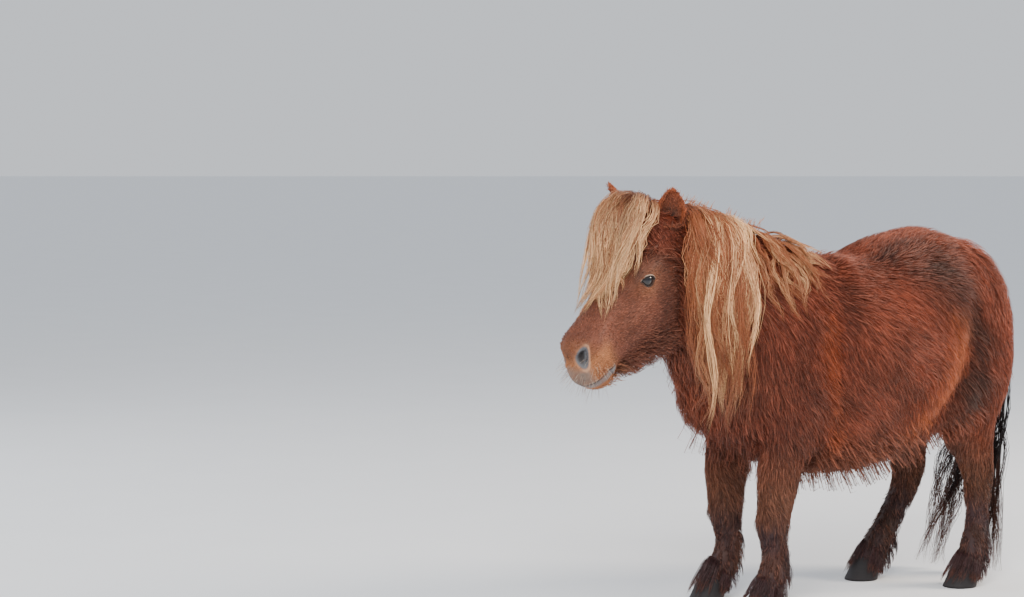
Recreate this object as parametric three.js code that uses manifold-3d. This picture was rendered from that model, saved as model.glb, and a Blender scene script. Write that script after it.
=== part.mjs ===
// A Shetland pony in its winter coat, standing still, life size, in millimetres.
// It faces -Y, its left side is +X and its hooves stand on z = 0.
// The flesh is one smooth field of tubes and muscles, wrapped in rings of points, part by part.
// Mane, forelock, tail, beard, fringe and feather are flat tapered locks that hang over that field.
import * as THREE from "three";
import { mergeVertices } from "three/addons/utils/BufferGeometryUtils.js";
import Module from "manifold-3d";

const wasm = await Module();
wasm.setup();

// Driving dimensions. All lengths below are those of a pony of DESIGN_WITHERS and are scaled at the end.
const WITHERS = 930; // ground to the top of the coat at the withers
const DESIGN_WITHERS = 930;
const HEAD_YAW = 19; // degrees that the head turns to the pony's left
const HEAD_PITCH = 43; // degrees that the face slopes below level
const POLL = [-6, -650, 1024]; // top of the skull between the ears
const STANCE = 112; // half the distance between left and right hooves
const GROUND = 12; // level of the soles in these lengths, which the whole pony is lowered by
const MIDDLE = -178; // its middle along Y in these lengths, which is moved to the origin
const GAP = 0.3; // between two nodes that touch
const CUT = 0.8; // field level of a grown copy, which keeps GAP also where the field is steep
const COLOURS = {
  coat: 0x7a3b1e,
  neck: 0x6e3319,
  head: 0x7d3f22,
  upperLeg: 0x5e2f1c,
  lowerLeg: 0x3a2019,
  hoof: 0x3a3a42,
  mane: 0xb9855a,
  forelock: 0xc99a6c,
  tail: 0x2b1a18,
  ear: 0x8a4520,
  eye: 0x14161f,
};

const V = (x, y, z) => new THREE.Vector3(x, y, z);
const DOWN = V(0, 0, -1);
const { degToRad: rad, lerp, smoothstep } = THREE.MathUtils;
const bothSides = (make) => [1, -1].flatMap(make);
const count = (n) => Array.from({ length: n }, (_, i) => i);
const spread = (from, to, n) => count(n).map((i) => lerp(from, to, i / (n - 1)));
const middle = (ring) => ring.reduce((sum, p) => sum.add(p), V(0, 0, 0)).divideScalar(ring.length);

// A small seeded generator, so that each build draws the same locks.
function seeded(seed) {
  let state = seed;
  const next = () => {
    state = (state * 1664525 + 1013904223) % 4294967296;
    return state / 4294967296;
  };
  return (low = 0, high = 1) => lerp(low, high, next());
}

// A tube round a spine. Each station is [x, y, z, side, above, below, yaw]: the centre, the reach to
// each side, along the frame's up and against it, and the turn of the side axis about Z in degrees.
const SAMPLES = 6;
class Tube {
  constructor(stations, { square = 2, cap = 30 } = {}) {
    this.square = square;
    this.cap = cap;
    this.last = stations.length - 1;
    const curve = (pick) => new THREE.CatmullRomCurve3(stations.map(pick), false, "catmullrom", 0.5);
    this.spine = curve((s) => V(s[0], s[1], s[2]));
    this.reach = curve((s) => V(s[3], s[4], s[5]));
    this.turn = curve((s) => V(s[6] ?? 0, 0, 0));
    this.samples = spread(0, 1, this.last * SAMPLES + 1).map((t) => this.frame(t));
  }

  // Centre, axes and reaches at t, which runs from 0 at the first station to 1 at the last.
  frame(t) {
    const yaw = rad(this.turn.getPoint(t).x);
    const along = this.spine.getTangent(t);
    const side = V(Math.cos(yaw), Math.sin(yaw), 0);
    side.addScaledVector(along, -side.dot(along)).normalize();
    const up = along.clone().cross(side);
    return { centre: this.spine.getPoint(t), along, side, up, r: this.reach.getPoint(t) };
  }

  at(station) {
    return station / this.last;
  }

  // The reach in the direction (x along side, y along up), as a superellipse.
  radius(r, x, y) {
    const size = Math.hypot(x, y);
    if (size < 1e-9) return r.x;
    const across = Math.abs(x / size) / r.x;
    const upright = Math.abs(y / size) / (y > 0 ? r.y : r.z);
    return (across ** this.square + upright ** this.square) ** (-1 / this.square);
  }

  // Roughly the distance from p to the tube's surface, negative inside. Each end is a dome cap deep.
  distance(p) {
    let best = Infinity;
    let index = 0;
    let share = 0;
    for (let i = 0; i + 1 < this.samples.length; i++) {
      const a = this.samples[i].centre;
      const b = this.samples[i + 1].centre;
      const [dx, dy, dz] = [b.x - a.x, b.y - a.y, b.z - a.z];
      const dot = (p.x - a.x) * dx + (p.y - a.y) * dy + (p.z - a.z) * dz;
      const u = Math.min(1, Math.max(0, dot / (dx * dx + dy * dy + dz * dz)));
      const d = (p.x - a.x - u * dx) ** 2 + (p.y - a.y - u * dy) ** 2 + (p.z - a.z - u * dz) ** 2;
      if (d < best) [best, index, share] = [d, i, u];
    }
    const a = this.samples[index];
    const b = this.samples[index + 1];
    const away = p.clone().sub(a.centre.clone().lerp(b.centre, share));
    const x = away.dot(a.side.clone().lerp(b.side, share));
    const y = away.dot(a.up.clone().lerp(b.up, share));
    const z = away.dot(a.along.clone().lerp(b.along, share));
    const r = this.radius(a.r.clone().lerp(b.r, share), x, y);
    return (Math.hypot(Math.hypot(x, y) / r, z / this.cap) - 1) * r;
  }
}

// An ellipsoid with its own axes. The sizes are its reaches along them.
function lump(centre, axes, sizes) {
  const least = Math.min(...sizes);
  return (p) => {
    const d = p.clone().sub(centre);
    return (Math.hypot(...axes.map((axis, i) => d.dot(axis) / sizes[i])) - 1) * least;
  };
}

// A muscle of the trunk, with its long axis slope degrees above level.
function muscle(centre, length, depth, width, slope) {
  const turn = rad(slope);
  const long = V(0, -Math.cos(turn), Math.sin(turn));
  const across = V(1, 0, 0);
  return lump(V(...centre), [long, long.clone().cross(across), across], [length, depth, width]);
}

function smoothUnion(a, b, width) {
  const h = Math.max(width - Math.abs(a - b), 0) / width;
  return Math.min(a, b) - (h * h * width) / 4;
}

const blend = (pieces, width) => (p) =>
  pieces.reduce((d, piece) => smoothUnion(d, piece(p), width), Infinity);

// The direction away from the flesh at p.
function outward(f, p) {
  const e = 1;
  const slope = (axis) =>
    f(p.clone().setComponent(axis, p.getComponent(axis) + e)) -
    f(p.clone().setComponent(axis, p.getComponent(axis) - e));
  return V(slope(0), slope(1), slope(2)).normalize();
}

// Trunk and neck, from the buttocks to the poll.
const trunk = new Tube(
  [
    [0, 355, 690, 206, 284, 256], // haunches, from which a dome closes the buttocks
    [0, 275, 684, 230, 308, 250], // croup
    [0, 165, 676, 254, 294, 268], // flank
    [0, 40, 660, 270, 266, 300], // barrel
    [0, -80, 655, 264, 268, 312],
    [0, -190, 668, 232, 272, 306], // girth and withers
    [0, -290, 715, 198, 252, 285], // shoulders
    [-1, -385, 778, 164, 224, 246, 2], // root of the neck
    [-3, -475, 846, 132, 184, 200, 5],
    [-6, -552, 908, 112, 144, 160, 9],
    [-9, -612, 950, 96, 104, 130, 12], // behind the poll
  ],
  { square: 2.2, cap: 188 },
);

// The head's own axes: along the face to the muzzle, to its left, and out of the face.
const ahead = V(Math.sin(rad(HEAD_YAW)), -Math.cos(rad(HEAD_YAW)), 0);
const HEAD_ALONG = ahead.multiplyScalar(Math.cos(rad(HEAD_PITCH)));
HEAD_ALONG.z = -Math.sin(rad(HEAD_PITCH));
const HEAD_LEFT = V(Math.cos(rad(HEAD_YAW)), Math.sin(rad(HEAD_YAW)), 0);
const HEAD_OUT = HEAD_ALONG.clone().cross(HEAD_LEFT);
const HEAD_AXES = [HEAD_ALONG, HEAD_LEFT, HEAD_OUT];
const headTurn = (a, l, o) =>
  V(0, 0, 0)
    .addScaledVector(HEAD_ALONG, a)
    .addScaledVector(HEAD_LEFT, l)
    .addScaledVector(HEAD_OUT, o);
const onHead = (a, l, o) => headTurn(a, l, o).add(V(...POLL));
const headLump = (a, l, o, ...sizes) => lump(onHead(a, l, o), HEAD_AXES, sizes);

// Stations down the face: distance from the poll, level of the centre, side, above, below.
const head = new Tube(
  [
    [-40, -80, 70, 60, 78], // back of the skull
    [16, -88, 84, 88, 108],
    [90, -96, 92, 96, 134], // forehead
    [170, -102, 92, 101, 138], // eyes and cheeks
    [238, -98, 76, 97, 124],
    [306, -88, 61, 85, 100], // bars of the jaw
    [364, -78, 53, 75, 78],
    [400, -77, 54, 66, 72], // nostrils and chin
    [418, -80, 49, 56, 58], // lips
  ].map(([a, out, side, above, below]) => {
    const c = onHead(a, 0, out);
    return [c.x, c.y, c.z, side, above, below, HEAD_YAW];
  }),
  { square: 2.5, cap: 38 },
);

const HEAD_LUMPS = [
  ...bothSides((s) => [
    headLump(178, 48 * s, -130, 86, 42, 84), // cheek
    headLump(150, 66 * s, -18, 46, 28, 20), // brow
    headLump(178, 60 * s, -32, 38, 26, 30), // socket of the eye
    headLump(250, 62 * s, -68, 64, 16, 14), // crest below the eye
    headLump(400, 36 * s, -38, 32, 18, 32), // nostril wing
  ]),
  headLump(322, 0, -18, 116, 42, 18), // bridge of the nose
  headLump(443, 0, -88, 33, 43, 35), // upper lip
  headLump(425, 0, -130, 30, 33, 21), // lower lip
  headLump(402, 0, -144, 31, 30, 25), // chin
];

// Each leg's stations: y and z of the centre, side, front, back.
const FORE_LEFT = [
  [-285, 600, 62, 76, 80], // shoulder, inside the trunk
  [-308, 500, 64, 72, 80],
  [-320, 420, 58, 62, 68], // forearm
  [-328, 340, 50, 52, 56],
  [-334, 280, 44, 46, 46],
  [-337, 240, 43, 46, 40], // knee
  [-334, 200, 36, 37, 35],
  [-332, 160, 32, 32, 35], // cannon
  [-334, 122, 34, 36, 40], // fetlock
  [-343, 92, 36, 38, 42],
  [-357, 64, 41, 38, 44], // coronet
];
const FORE_RIGHT = [
  [-285, 600, 62, 76, 80], // shoulder, inside the trunk
  [-304, 500, 64, 72, 80],
  [-308, 420, 58, 62, 68], // forearm
  [-310, 340, 51, 54, 60],
  [-312, 280, 46, 48, 50],
  [-314, 240, 44, 46, 44], // knee
  [-311, 200, 37, 37, 38],
  [-309, 160, 33, 32, 37], // cannon
  [-314, 122, 35, 36, 42], // fetlock
  [-332, 92, 37, 39, 44],
  [-356, 64, 41, 40, 46], // coronet
];
const HIND_LEFT = [
  [304, 600, 96, 118, 112], // thigh, inside the trunk
  [322, 510, 86, 108, 98], // stifle
  [342, 430, 62, 74, 72], // gaskin
  [362, 368, 50, 54, 52],
  [376, 318, 42, 46, 43], // hock
  [377, 262, 34, 38, 36],
  [376, 205, 29, 30, 32], // cannon
  [370, 150, 31, 32, 36],
  [364, 116, 34, 36, 42], // fetlock
  [354, 88, 37, 38, 42],
  [340, 62, 41, 38, 44], // coronet
];
const HIND_RIGHT = [
  [290, 600, 96, 118, 112], // thigh, inside the trunk
  [305, 510, 86, 108, 98], // stifle
  [318, 430, 64, 80, 74], // gaskin
  [330, 368, 52, 62, 56],
  [334, 318, 45, 53, 47], // hock
  [318, 262, 37, 40, 38],
  [281, 205, 32, 33, 35], // cannon
  [246, 150, 34, 35, 38],
  [222, 116, 37, 38, 44], // fetlock
  [202, 88, 38, 38, 44],
  [182, 62, 41, 38, 44], // coronet
];

// A leg's centre line leans from the shoulder or hip to the stance.
const legTube = (stations, side, top) =>
  new Tube(
    stations.map(([y, z, wide, front, back]) => {
      const x = side * lerp(STANCE, top, smoothstep(z, 100, 600));
      return [x, y, z, wide, front, back];
    }),
    { square: 2.1, cap: 30 },
  );
const LEGS = [
  { name: "left_fore", tube: legTube(FORE_LEFT, 1, 128), parting: 4.6 },
  { name: "right_fore", tube: legTube(FORE_RIGHT, -1, 128), parting: 4.6 },
  { name: "left_hind", tube: legTube(HIND_LEFT, 1, 122), parting: 4.2 },
  { name: "right_hind", tube: legTube(HIND_RIGHT, -1, 122), parting: 4.2 },
];

// The fields of the flesh.
const trunkField = blend(
  [
    (p) => trunk.distance(p),
    ...bothSides((s) => [
      muscle([112 * s, -316, 636], 165, 92, 92, 62), // shoulder
      muscle([102 * s, 325, 645], 185, 108, 114, 74), // haunch
      muscle([58 * s, -408, 562], 88, 92, 84, 40), // breast
    ]),
  ],
  70,
);
const headField = blend([(p) => head.distance(p), ...HEAD_LUMPS], 24);
const bodyField = (p) => smoothUnion(trunkField(p), headField(p), 60);
const skin = (p) =>
  LEGS.reduce((d, leg) => smoothUnion(d, leg.tube.distance(p), 60), bodyField(p));

// Rings of points to one closed surface with a point inside each end. A flat lock is split alike on
// both faces, and any other surface along the shorter diagonals.
function loft(rings, start, end, flat = false) {
  const sides = rings[0].length;
  const points = rings.flat();
  const faces = [];
  const index = (i, j) => i * sides + (j % sides);
  for (let i = 0; i + 1 < rings.length; i++)
    for (let j = 0; j < sides; j++) {
      const [a, b, c, d] = [index(i, j), index(i, j + 1), index(i + 1, j + 1), index(i + 1, j)];
      const shorter = points[a].distanceTo(points[c]) < points[b].distanceTo(points[d]);
      if (flat ? j % 2 === 0 : shorter) faces.push(a, b, c, a, c, d);
      else faces.push(a, b, d, b, c, d);
    }
  const first = points.push(start) - 1;
  const last = points.push(end) - 1;
  for (let j = 0; j < sides; j++) {
    faces.push(first, index(0, j + 1), index(0, j));
    faces.push(last, index(rings.length - 1, j), index(rings.length - 1, j + 1));
  }
  return new THREE.BufferGeometry().setFromPoints(points).setIndex(faces);
}

// The distance from a point inside f, along a direction, to where f reaches level.
function castRay(f, from, direction, level, limit) {
  const reach = (r) => f(from.clone().addScaledVector(direction, r)) - level;
  const step = 9;
  let near = 0;
  let far = step;
  while (far < limit && reach(far) < 0) [near, far] = [far, far + step];
  if (far >= limit && reach(limit) < 0) return limit;
  far = Math.min(far, limit);
  for (const _ of count(12)) {
    const half = (near + far) / 2;
    if (reach(half) < 0) near = half;
    else far = half;
  }
  return (near + far) / 2;
}

// Wraps the field f round a tube at the given places along it. A ray goes no further than the tube's
// own reach plus flare(t), and grow moves the whole surface out. caps counts the rings of each dome.
function wrap(tube, f, places, sides, { flare = () => 90, grow = 0, caps = [0, 0] } = {}) {
  const ringAt = (t, lean) => {
    const { centre, along, side, up, r } = tube.frame(t);
    return count(sides).map((j) => {
      const angle = (2 * Math.PI * j) / sides;
      const [x, y] = [Math.cos(angle), Math.sin(angle)];
      const direction = side.clone().multiplyScalar(x).addScaledVector(up, y);
      direction.multiplyScalar(Math.cos(lean)).addScaledVector(along, Math.sin(lean));
      const limit = tube.radius(r, x, y) + flare(t) + grow;
      return centre.clone().addScaledVector(direction, castRay(f, centre, direction, grow, limit));
    });
  };
  const leans = (n) => count(n).map((k) => ((k + 1) / (n + 1)) * (Math.PI / 2));
  const rings = [
    ...leans(caps[0]).reverse().map((lean) => ringAt(places[0], -lean)),
    ...places.map((t) => ringAt(t, 0)),
    ...leans(caps[1]).map((lean) => ringAt(places.at(-1), lean)),
  ];
  const pole = (t, way, ring, domed) => {
    if (!domed) return middle(ring);
    const { centre, along } = tube.frame(t);
    const direction = along.clone().multiplyScalar(way);
    return centre.clone().addScaledVector(direction, castRay(f, centre, direction, grow, 200));
  };
  const start = pole(places[0], -1, rings[0], caps[0] > 0);
  const end = pole(places.at(-1), 1, rings.at(-1), caps[1] > 0);
  return solid(loft(rings, start, end));
}

// Solids for joining and cutting.
function solid(geometry) {
  const bare = geometry.clone();
  bare.deleteAttribute("normal");
  bare.deleteAttribute("uv");
  const merged = mergeVertices(bare, 1e-4);
  return new wasm.Manifold(
    new wasm.Mesh({
      numProp: 3,
      vertProperties: new Float32Array(merged.attributes.position.array),
      triVerts: new Uint32Array(merged.index.array),
    }),
  );
}
const join = (pieces) => wasm.Manifold.union(pieces);
const cut = (piece, tools) => wasm.Manifold.difference([piece, ...tools]);

// The largest closed surface of a solid, as a geometry.
function geometryOf(made) {
  const mesh = made.decompose().sort((a, b) => b.volume() - a.volume())[0].getMesh();
  const positions = count(mesh.numVert).flatMap((i) => [...mesh.position(i)]);
  return new THREE.BufferGeometry()
    .setAttribute("position", new THREE.Float32BufferAttribute(positions, 3))
    .setIndex([...mesh.triVerts]);
}

// An ellipsoid as a solid.
const WORLD_AXES = [V(1, 0, 0), V(0, 1, 0), V(0, 0, 1)];
function ball(centre, sizes, axes = WORLD_AXES) {
  const place = new THREE.Matrix4().makeBasis(...axes).scale(V(...sizes)).setPosition(centre);
  return solid(new THREE.SphereGeometry(1, 12, 8).applyMatrix4(place));
}

// Torso and neck share the plane of one ring, with GAP between them.
const NECK_ROOT = trunk.at(6.6);
const gapAlong = (tube) => (GAP + 0.1) / tube.spine.getLength();
const torsoWrap = (grow) => {
  const places = spread(0, NECK_ROOT, 15);
  return wrap(trunk, trunkField, places, 24, { grow, caps: [5, 0] });
};
const neckWrap = (grow) => {
  const places = spread(NECK_ROOT + gapAlong(trunk), 1, 9);
  const flare = (t) => lerp(40, -16, smoothstep(t, 0.88, 1));
  return wrap(trunk, bodyField, places, 22, { grow, flare });
};
const headWrap = (grow) => {
  const places = [...spread(0, head.at(2), 5), ...spread(head.at(2.4), head.at(6), 11)];
  places.push(...spread(head.at(6.35), 1, 7));
  const flare = (t) => lerp(-12, 40, smoothstep(t, 0.05, 0.35));
  return wrap(head, bodyField, places, 28, { grow, flare, caps: [2, 3] });
};
const upperLeg = (leg, grow) =>
  wrap(leg.tube, skin, spread(0, leg.tube.at(leg.parting), 8), 12, { grow, flare: () => 26 });
const lowerLeg = (leg, grow) => {
  const start = leg.tube.at(leg.parting) + gapAlong(leg.tube);
  return wrap(leg.tube, skin, spread(start, 1, 10), 12, { grow, flare: () => 14 });
};

// A box with its own axes, reaching sizes to each side of its centre.
function block(centre, axes, sizes) {
  const shape = new THREE.BoxGeometry(...sizes.map((size) => 2 * size));
  return solid(shape.applyMatrix4(new THREE.Matrix4().makeBasis(...axes).setPosition(centre)));
}

// Head and neck are one body, parted by a plane behind the ears and the jowls.
const PARTING = headTurn(0.859, 0, 0.512);
const PARTING_AXES = [PARTING, HEAD_LEFT, PARTING.clone().cross(HEAD_LEFT)];
const headSide = (gap) =>
  block(onHead(-40, 0, 10).addScaledVector(PARTING, 400 + gap), PARTING_AXES, [400, 400, 400]);
const headAndNeck = (grow) => join([neckWrap(grow), headWrap(grow)]);

// Eyes and lids. The places on the head are those of the left side.
const EYE_RADIUS = 24;
const LID = 4.5;
const EYE = [178, 66, -30];
const EYE_OPENING = [21, 12];
const eyeCentre = (s) => onHead(EYE[0], EYE[1] * s, EYE[2]);
const eyeBall = (s, grow = 0) => ball(eyeCentre(s), Array(3).fill(EYE_RADIUS + grow));

// A short prism of oval outline, from a point along a direction, for openings.
function ovalPlug(centre, facing, long, depths, reach) {
  const axis = facing.clone().normalize();
  const wide = long.clone().projectOnPlane(axis).normalize();
  const tall = axis.clone().cross(wide);
  const rings = depths.map((depth, k) =>
    count(12).map((j) => {
      const angle = (2 * Math.PI * j) / 12;
      return centre
        .clone()
        .addScaledVector(axis, depth)
        .addScaledVector(wide, reach[k][0] * Math.cos(angle))
        .addScaledVector(tall, reach[k][1] * Math.sin(angle));
    }),
  );
  return solid(loft(rings, middle(rings[0]), middle(rings.at(-1))));
}

// The opening between the lids, nearly level, with its inner corner a little lower.
const LID_FACING = (s) => headTurn(0.3, s, 0.16);
const LID_LINE = (s) => headTurn(0.83, -0.16 * s, 0.53);
const lidOpening = (s) =>
  ovalPlug(eyeCentre(s), LID_FACING(s), LID_LINE(s), [4, 40], [EYE_OPENING, EYE_OPENING]);

// A nostril: an oval pit, nearer to the other at its low end, that narrows as it runs into the nose.
const NOSTRIL_DEPTHS = [-16, 6, 24, 40];
const NOSTRIL_REACH = [
  [27, 12],
  [22, 10],
  [13, 6],
  [5, 3],
]; // half length and half width at each depth
function nostril(s) {
  const inward = headTurn(-0.6, -0.74 * s, -0.3);
  const long = headTurn(0.5, -0.2 * s, -0.84);
  return ovalPlug(onHead(444, 28 * s, -32), inward, long, NOSTRIL_DEPTHS, NOSTRIL_REACH);
}

// A flat band along a path: each knot has a place p, a normal, and its reach across and out.
function band(knots, tip) {
  const rings = knots.map(({ p, normal, wide, thick }, i) => {
    const along = (knots[i + 1] ?? { p: tip }).p.clone().sub(knots[Math.max(0, i - 1)].p).normalize();
    const up = normal.clone().projectOnPlane(along).normalize();
    const side = up.clone().cross(along);
    return [
      [side, wide],
      [up, thick],
      [side, -wide],
      [up, -thick],
    ].map(([axis, reach]) => p.clone().addScaledVector(axis, reach));
  });
  return solid(loft(rings, middle(rings[0]), tip, true));
}

// The line of the mouth: a groove from the left corner round the lips to the right one.
const MOUTH = [
  [380, -119],
  [396, -118],
  [412, -115],
  [430, -112],
  [446, -110],
];
function mouthGroove() {
  const sidePoint = (s) => ([a, out]) => {
    const from = onHead(a, 0, out);
    const direction = headTurn(0, s, 0);
    return { p: from.addScaledVector(direction, castRay(headField, from, direction, 0, 90)) };
  };
  const from = onHead(430, 0, -110);
  const front = { p: from.clone().addScaledVector(HEAD_ALONG, castRay(headField, from, HEAD_ALONG, 0, 90)) };
  const knots = [...MOUTH.map(sidePoint(1)), front, ...MOUTH.map(sidePoint(-1)).reverse()];
  for (const knot of knots) Object.assign(knot, { normal: outward(headField, knot.p), wide: 2, thick: 8 });
  const tip = knots.at(-1).p.clone().addScaledVector(HEAD_ALONG, -12);
  return band(knots, tip);
}

// Ears: a tapered shell with the cup cut out of its front.
const EARS = {
  left: { s: 1, base: onHead(10, 54, -30), tip: onHead(-50, 82, 66) },
  right: { s: -1, base: onHead(10, -60, -30), tip: onHead(-48, -106, 84) },
};
const EAR_SHAPE = [
  [0, 32, 28],
  [0.2, 38, 28],
  [0.45, 40, 23],
  [0.68, 31, 16],
  [0.86, 18, 9],
]; // share of the length, reach to each side, reach to front and back
function earRings({ s, base, tip }, from, wide, deep, forward, grow) {
  const axis = tip.clone().sub(base);
  const facing = headTurn(0.6, 0.75 * s, 0.3).projectOnPlane(axis).normalize();
  const across = facing.clone().cross(axis.clone().normalize());
  const rings = EAR_SHAPE.filter(([share]) => share >= from).map(([share, side, depth]) =>
    count(12).map((j) => {
      const angle = (2 * Math.PI * j) / 12;
      return base
        .clone()
        .addScaledVector(axis, share)
        .addScaledVector(facing, forward * depth + deep * (depth + grow) * Math.sin(angle))
        .addScaledVector(across, wide * (side + grow) * Math.cos(angle));
    }),
  );
  const end = base.clone().addScaledVector(axis, wide < 1 ? 0.96 : 1 + grow / 100);
  return solid(loft(rings, middle(rings[0]), end));
}
const earShell = (ear, grow) => earRings(ear, 0, 1, 1, 0, grow);
const earCup = (ear) => earRings(ear, 0.2, 0.84, 1.15, 0.62, 0);

// A strand of hair over the field f. It leaves the root along heading, is drawn towards lie(p) by pull
// at each step and never comes nearer to the flesh than clear. Cling is the share of any greater
// distance that it falls back by at each step.
function strand(f, root, heading, options) {
  const { length, steps, clear, lie, pull = 0.5, sway = 0, sink = 9, cling = 0 } = options;
  let p = root.clone();
  let normal = outward(f, p);
  const direction = heading.clone().normalize();
  const knots = [{ p: p.clone().addScaledVector(normal, -sink), normal: normal.clone() }];
  for (const i of count(steps)) {
    const side = direction.clone().cross(normal).normalize();
    direction.lerp(lie(p), pull).addScaledVector(side, sway * Math.sin((i + 1) * 1.7 + length)).normalize();
    p = p.clone().addScaledVector(direction, length / steps);
    for (const _ of count(2)) {
      const depth = f(p) - clear * Math.min(1, (i + 1) / 2);
      p.addScaledVector(outward(f, p), depth < 0 ? -depth : -cling * depth);
    }
    if (f(p) < 60) normal = normal.lerp(outward(f, p), 0.7).normalize();
    knots.push({ p: p.clone(), normal: normal.clone() });
  }
  return knots;
}

// A flat lock that widens from its root and tapers to its tip.
function lock(knots, wide, thick) {
  const last = knots.length - 1;
  const shaped = knots.slice(0, last).map((knot, i) => {
    const share = i / last;
    const taper = Math.min(1, 0.6 + 1.6 * share) * (1 - 0.7 * share ** 2);
    return { ...knot, wide: wide * taper, thick: thick * (1 - 0.5 * share) };
  });
  return band(shaped, knots[last].p);
}

// The line under the crest that mane roots are cast from, from the withers to the poll.
const CREST = new Tube([
  [0, -205, 862, 60, 60, 60],
  [0, -290, 878, 60, 60, 60],
  [-2, -400, 912, 60, 60, 60],
  [-5, -500, 946, 60, 60, 60],
  [-9, -585, 968, 60, 60, 60],
  [-13, -640, 974, 60, 60, 60],
]);

// The place over the flesh seen from a tube's centre at t, at an angle from its left side up.
function above(tube, t, degrees, level = 0) {
  const { centre, side, up } = tube.frame(t);
  const angle = rad(degrees);
  const direction = side.multiplyScalar(Math.cos(angle)).addScaledVector(up, Math.sin(angle));
  return centre.addScaledVector(direction, castRay(bodyField, centre, direction, level, 420));
}

// Mane: a core saddles the crest and the locks fall from it, nearly all to the left.
function maneCore() {
  const rings = spread(0, 1, 7).map((t) => {
    const arc = spread(130, lerp(60, 10, t), 6);
    const rise = 12 * smoothstep(t, -0.1, 0.25) * smoothstep(1 - t, -0.1, 0.15);
    const outer = arc.map((a, i) => above(CREST, t, a, rise * Math.sin((Math.PI * (i + 0.7)) / 6.4)));
    const inner = [...arc].reverse().map((a) => above(CREST, t, a, -7));
    return [...outer, ...inner].reverse();
  });
  return solid(loft(rings, middle(rings[0]), middle(rings.at(-1))));
}

// How far the mane falls, at a share of the way from the withers to the poll.
function maneLength(share) {
  const rear = lerp(190, 410, smoothstep(share, 0, 0.2));
  const thin = 1 - 0.22 * Math.exp(-(((share - 0.36) / 0.08) ** 2));
  return lerp(rear, 560, smoothstep(share, 0.4, 0.62)) * thin;
}
const MANE_ROWS = [
  { angle: 94, locks: 10, clear: 24, drop: 0 },
  { angle: 68, locks: 7, clear: 14, drop: 20 },
  { angle: 34, locks: 4, clear: 5, drop: 110 },
];
const RIGHT_LOCKS = 7; // the few that fall to the right
function maneLocks() {
  const random = seeded(11);
  const toLeft = MANE_ROWS.flatMap(({ angle, locks, clear, drop }) =>
    count(locks).map((i) => {
      const share = (i + random(0.2, 0.8)) / locks;
      const root = above(CREST, lerp(0.05, 0.97, share), angle + random(-5, 5), 5);
      const length = (maneLength(share) - drop) * random(0.85, 1.08);
      const fall = V(random(-0.08, 0.06), lerp(0.06, -0.16, share) + random(-0.07, 0.07), -1);
      const lie = () => fall;
      const heading = V(1, random(-0.2, 0.2), 0.1);
      const sway = random(-0.1, 0.1);
      const rise = clear * lerp(0.35, 1, smoothstep(share, 0, 0.3)) + random(-2, 2);
      const options = { length, steps: 4, clear: rise, lie, sway, cling: 0.25 };
      return lock(strand(bodyField, root, heading, options), random(25, 31), random(3.5, 5));
    }),
  );
  const toRight = count(RIGHT_LOCKS).map((i) => {
    const root = above(CREST, lerp(0.08, 0.95, (i + random(0.2, 0.8)) / RIGHT_LOCKS), random(104, 120), 3);
    const fall = V(0, random(0, 0.3), -1).normalize();
    const options = { length: random(160, 240), steps: 3, clear: 5, lie: () => fall, cling: 0.6 };
    return lock(strand(bodyField, root, V(-1, random(-0.1, 0.3), 0), options), random(30, 36), 3.6);
  });
  return [...toLeft, ...toRight];
}

// Forelock: locks from a pad between the ears, down the forehead and over the far eye.
const forelockPad = () => ball(onHead(8, 0, -6), [58, 42, 22], HEAD_AXES);
const FORELOCK_LOCKS = 6; // in each of its two rows
function forelockLocks() {
  const random = seeded(23);
  return [0, 1].flatMap((row) =>
    count(FORELOCK_LOCKS).map((i) => {
      const across = lerp(-32, 34, (i + random(0.2, 0.8)) / FORELOCK_LOCKS);
      const root = onHead(lerp(-14, 40, row) + random(-6, 6), across, 8);
      const fan = across * 0.003 - 0.03;
      const fall = headTurn(0.86, fan + random(-0.05, 0.05), -0.35).lerp(DOWN, 0.3).normalize();
      const length = lerp(330, 280, row) * random(0.85, 1.1) * (1 - 0.003 * Math.abs(across));
      const clear = 19 - 10 * row + random(-3, 3) - 6 * smoothstep(-across, 0, 30);
      const options = { length, steps: 4, clear, lie: () => fall, cling: 0.9 };
      const heading = headTurn(0.8, fan, 0.4);
      return lock(strand(bodyField, root, heading, options), random(17, 22), random(4, 5.5));
    }),
  );
}

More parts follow.
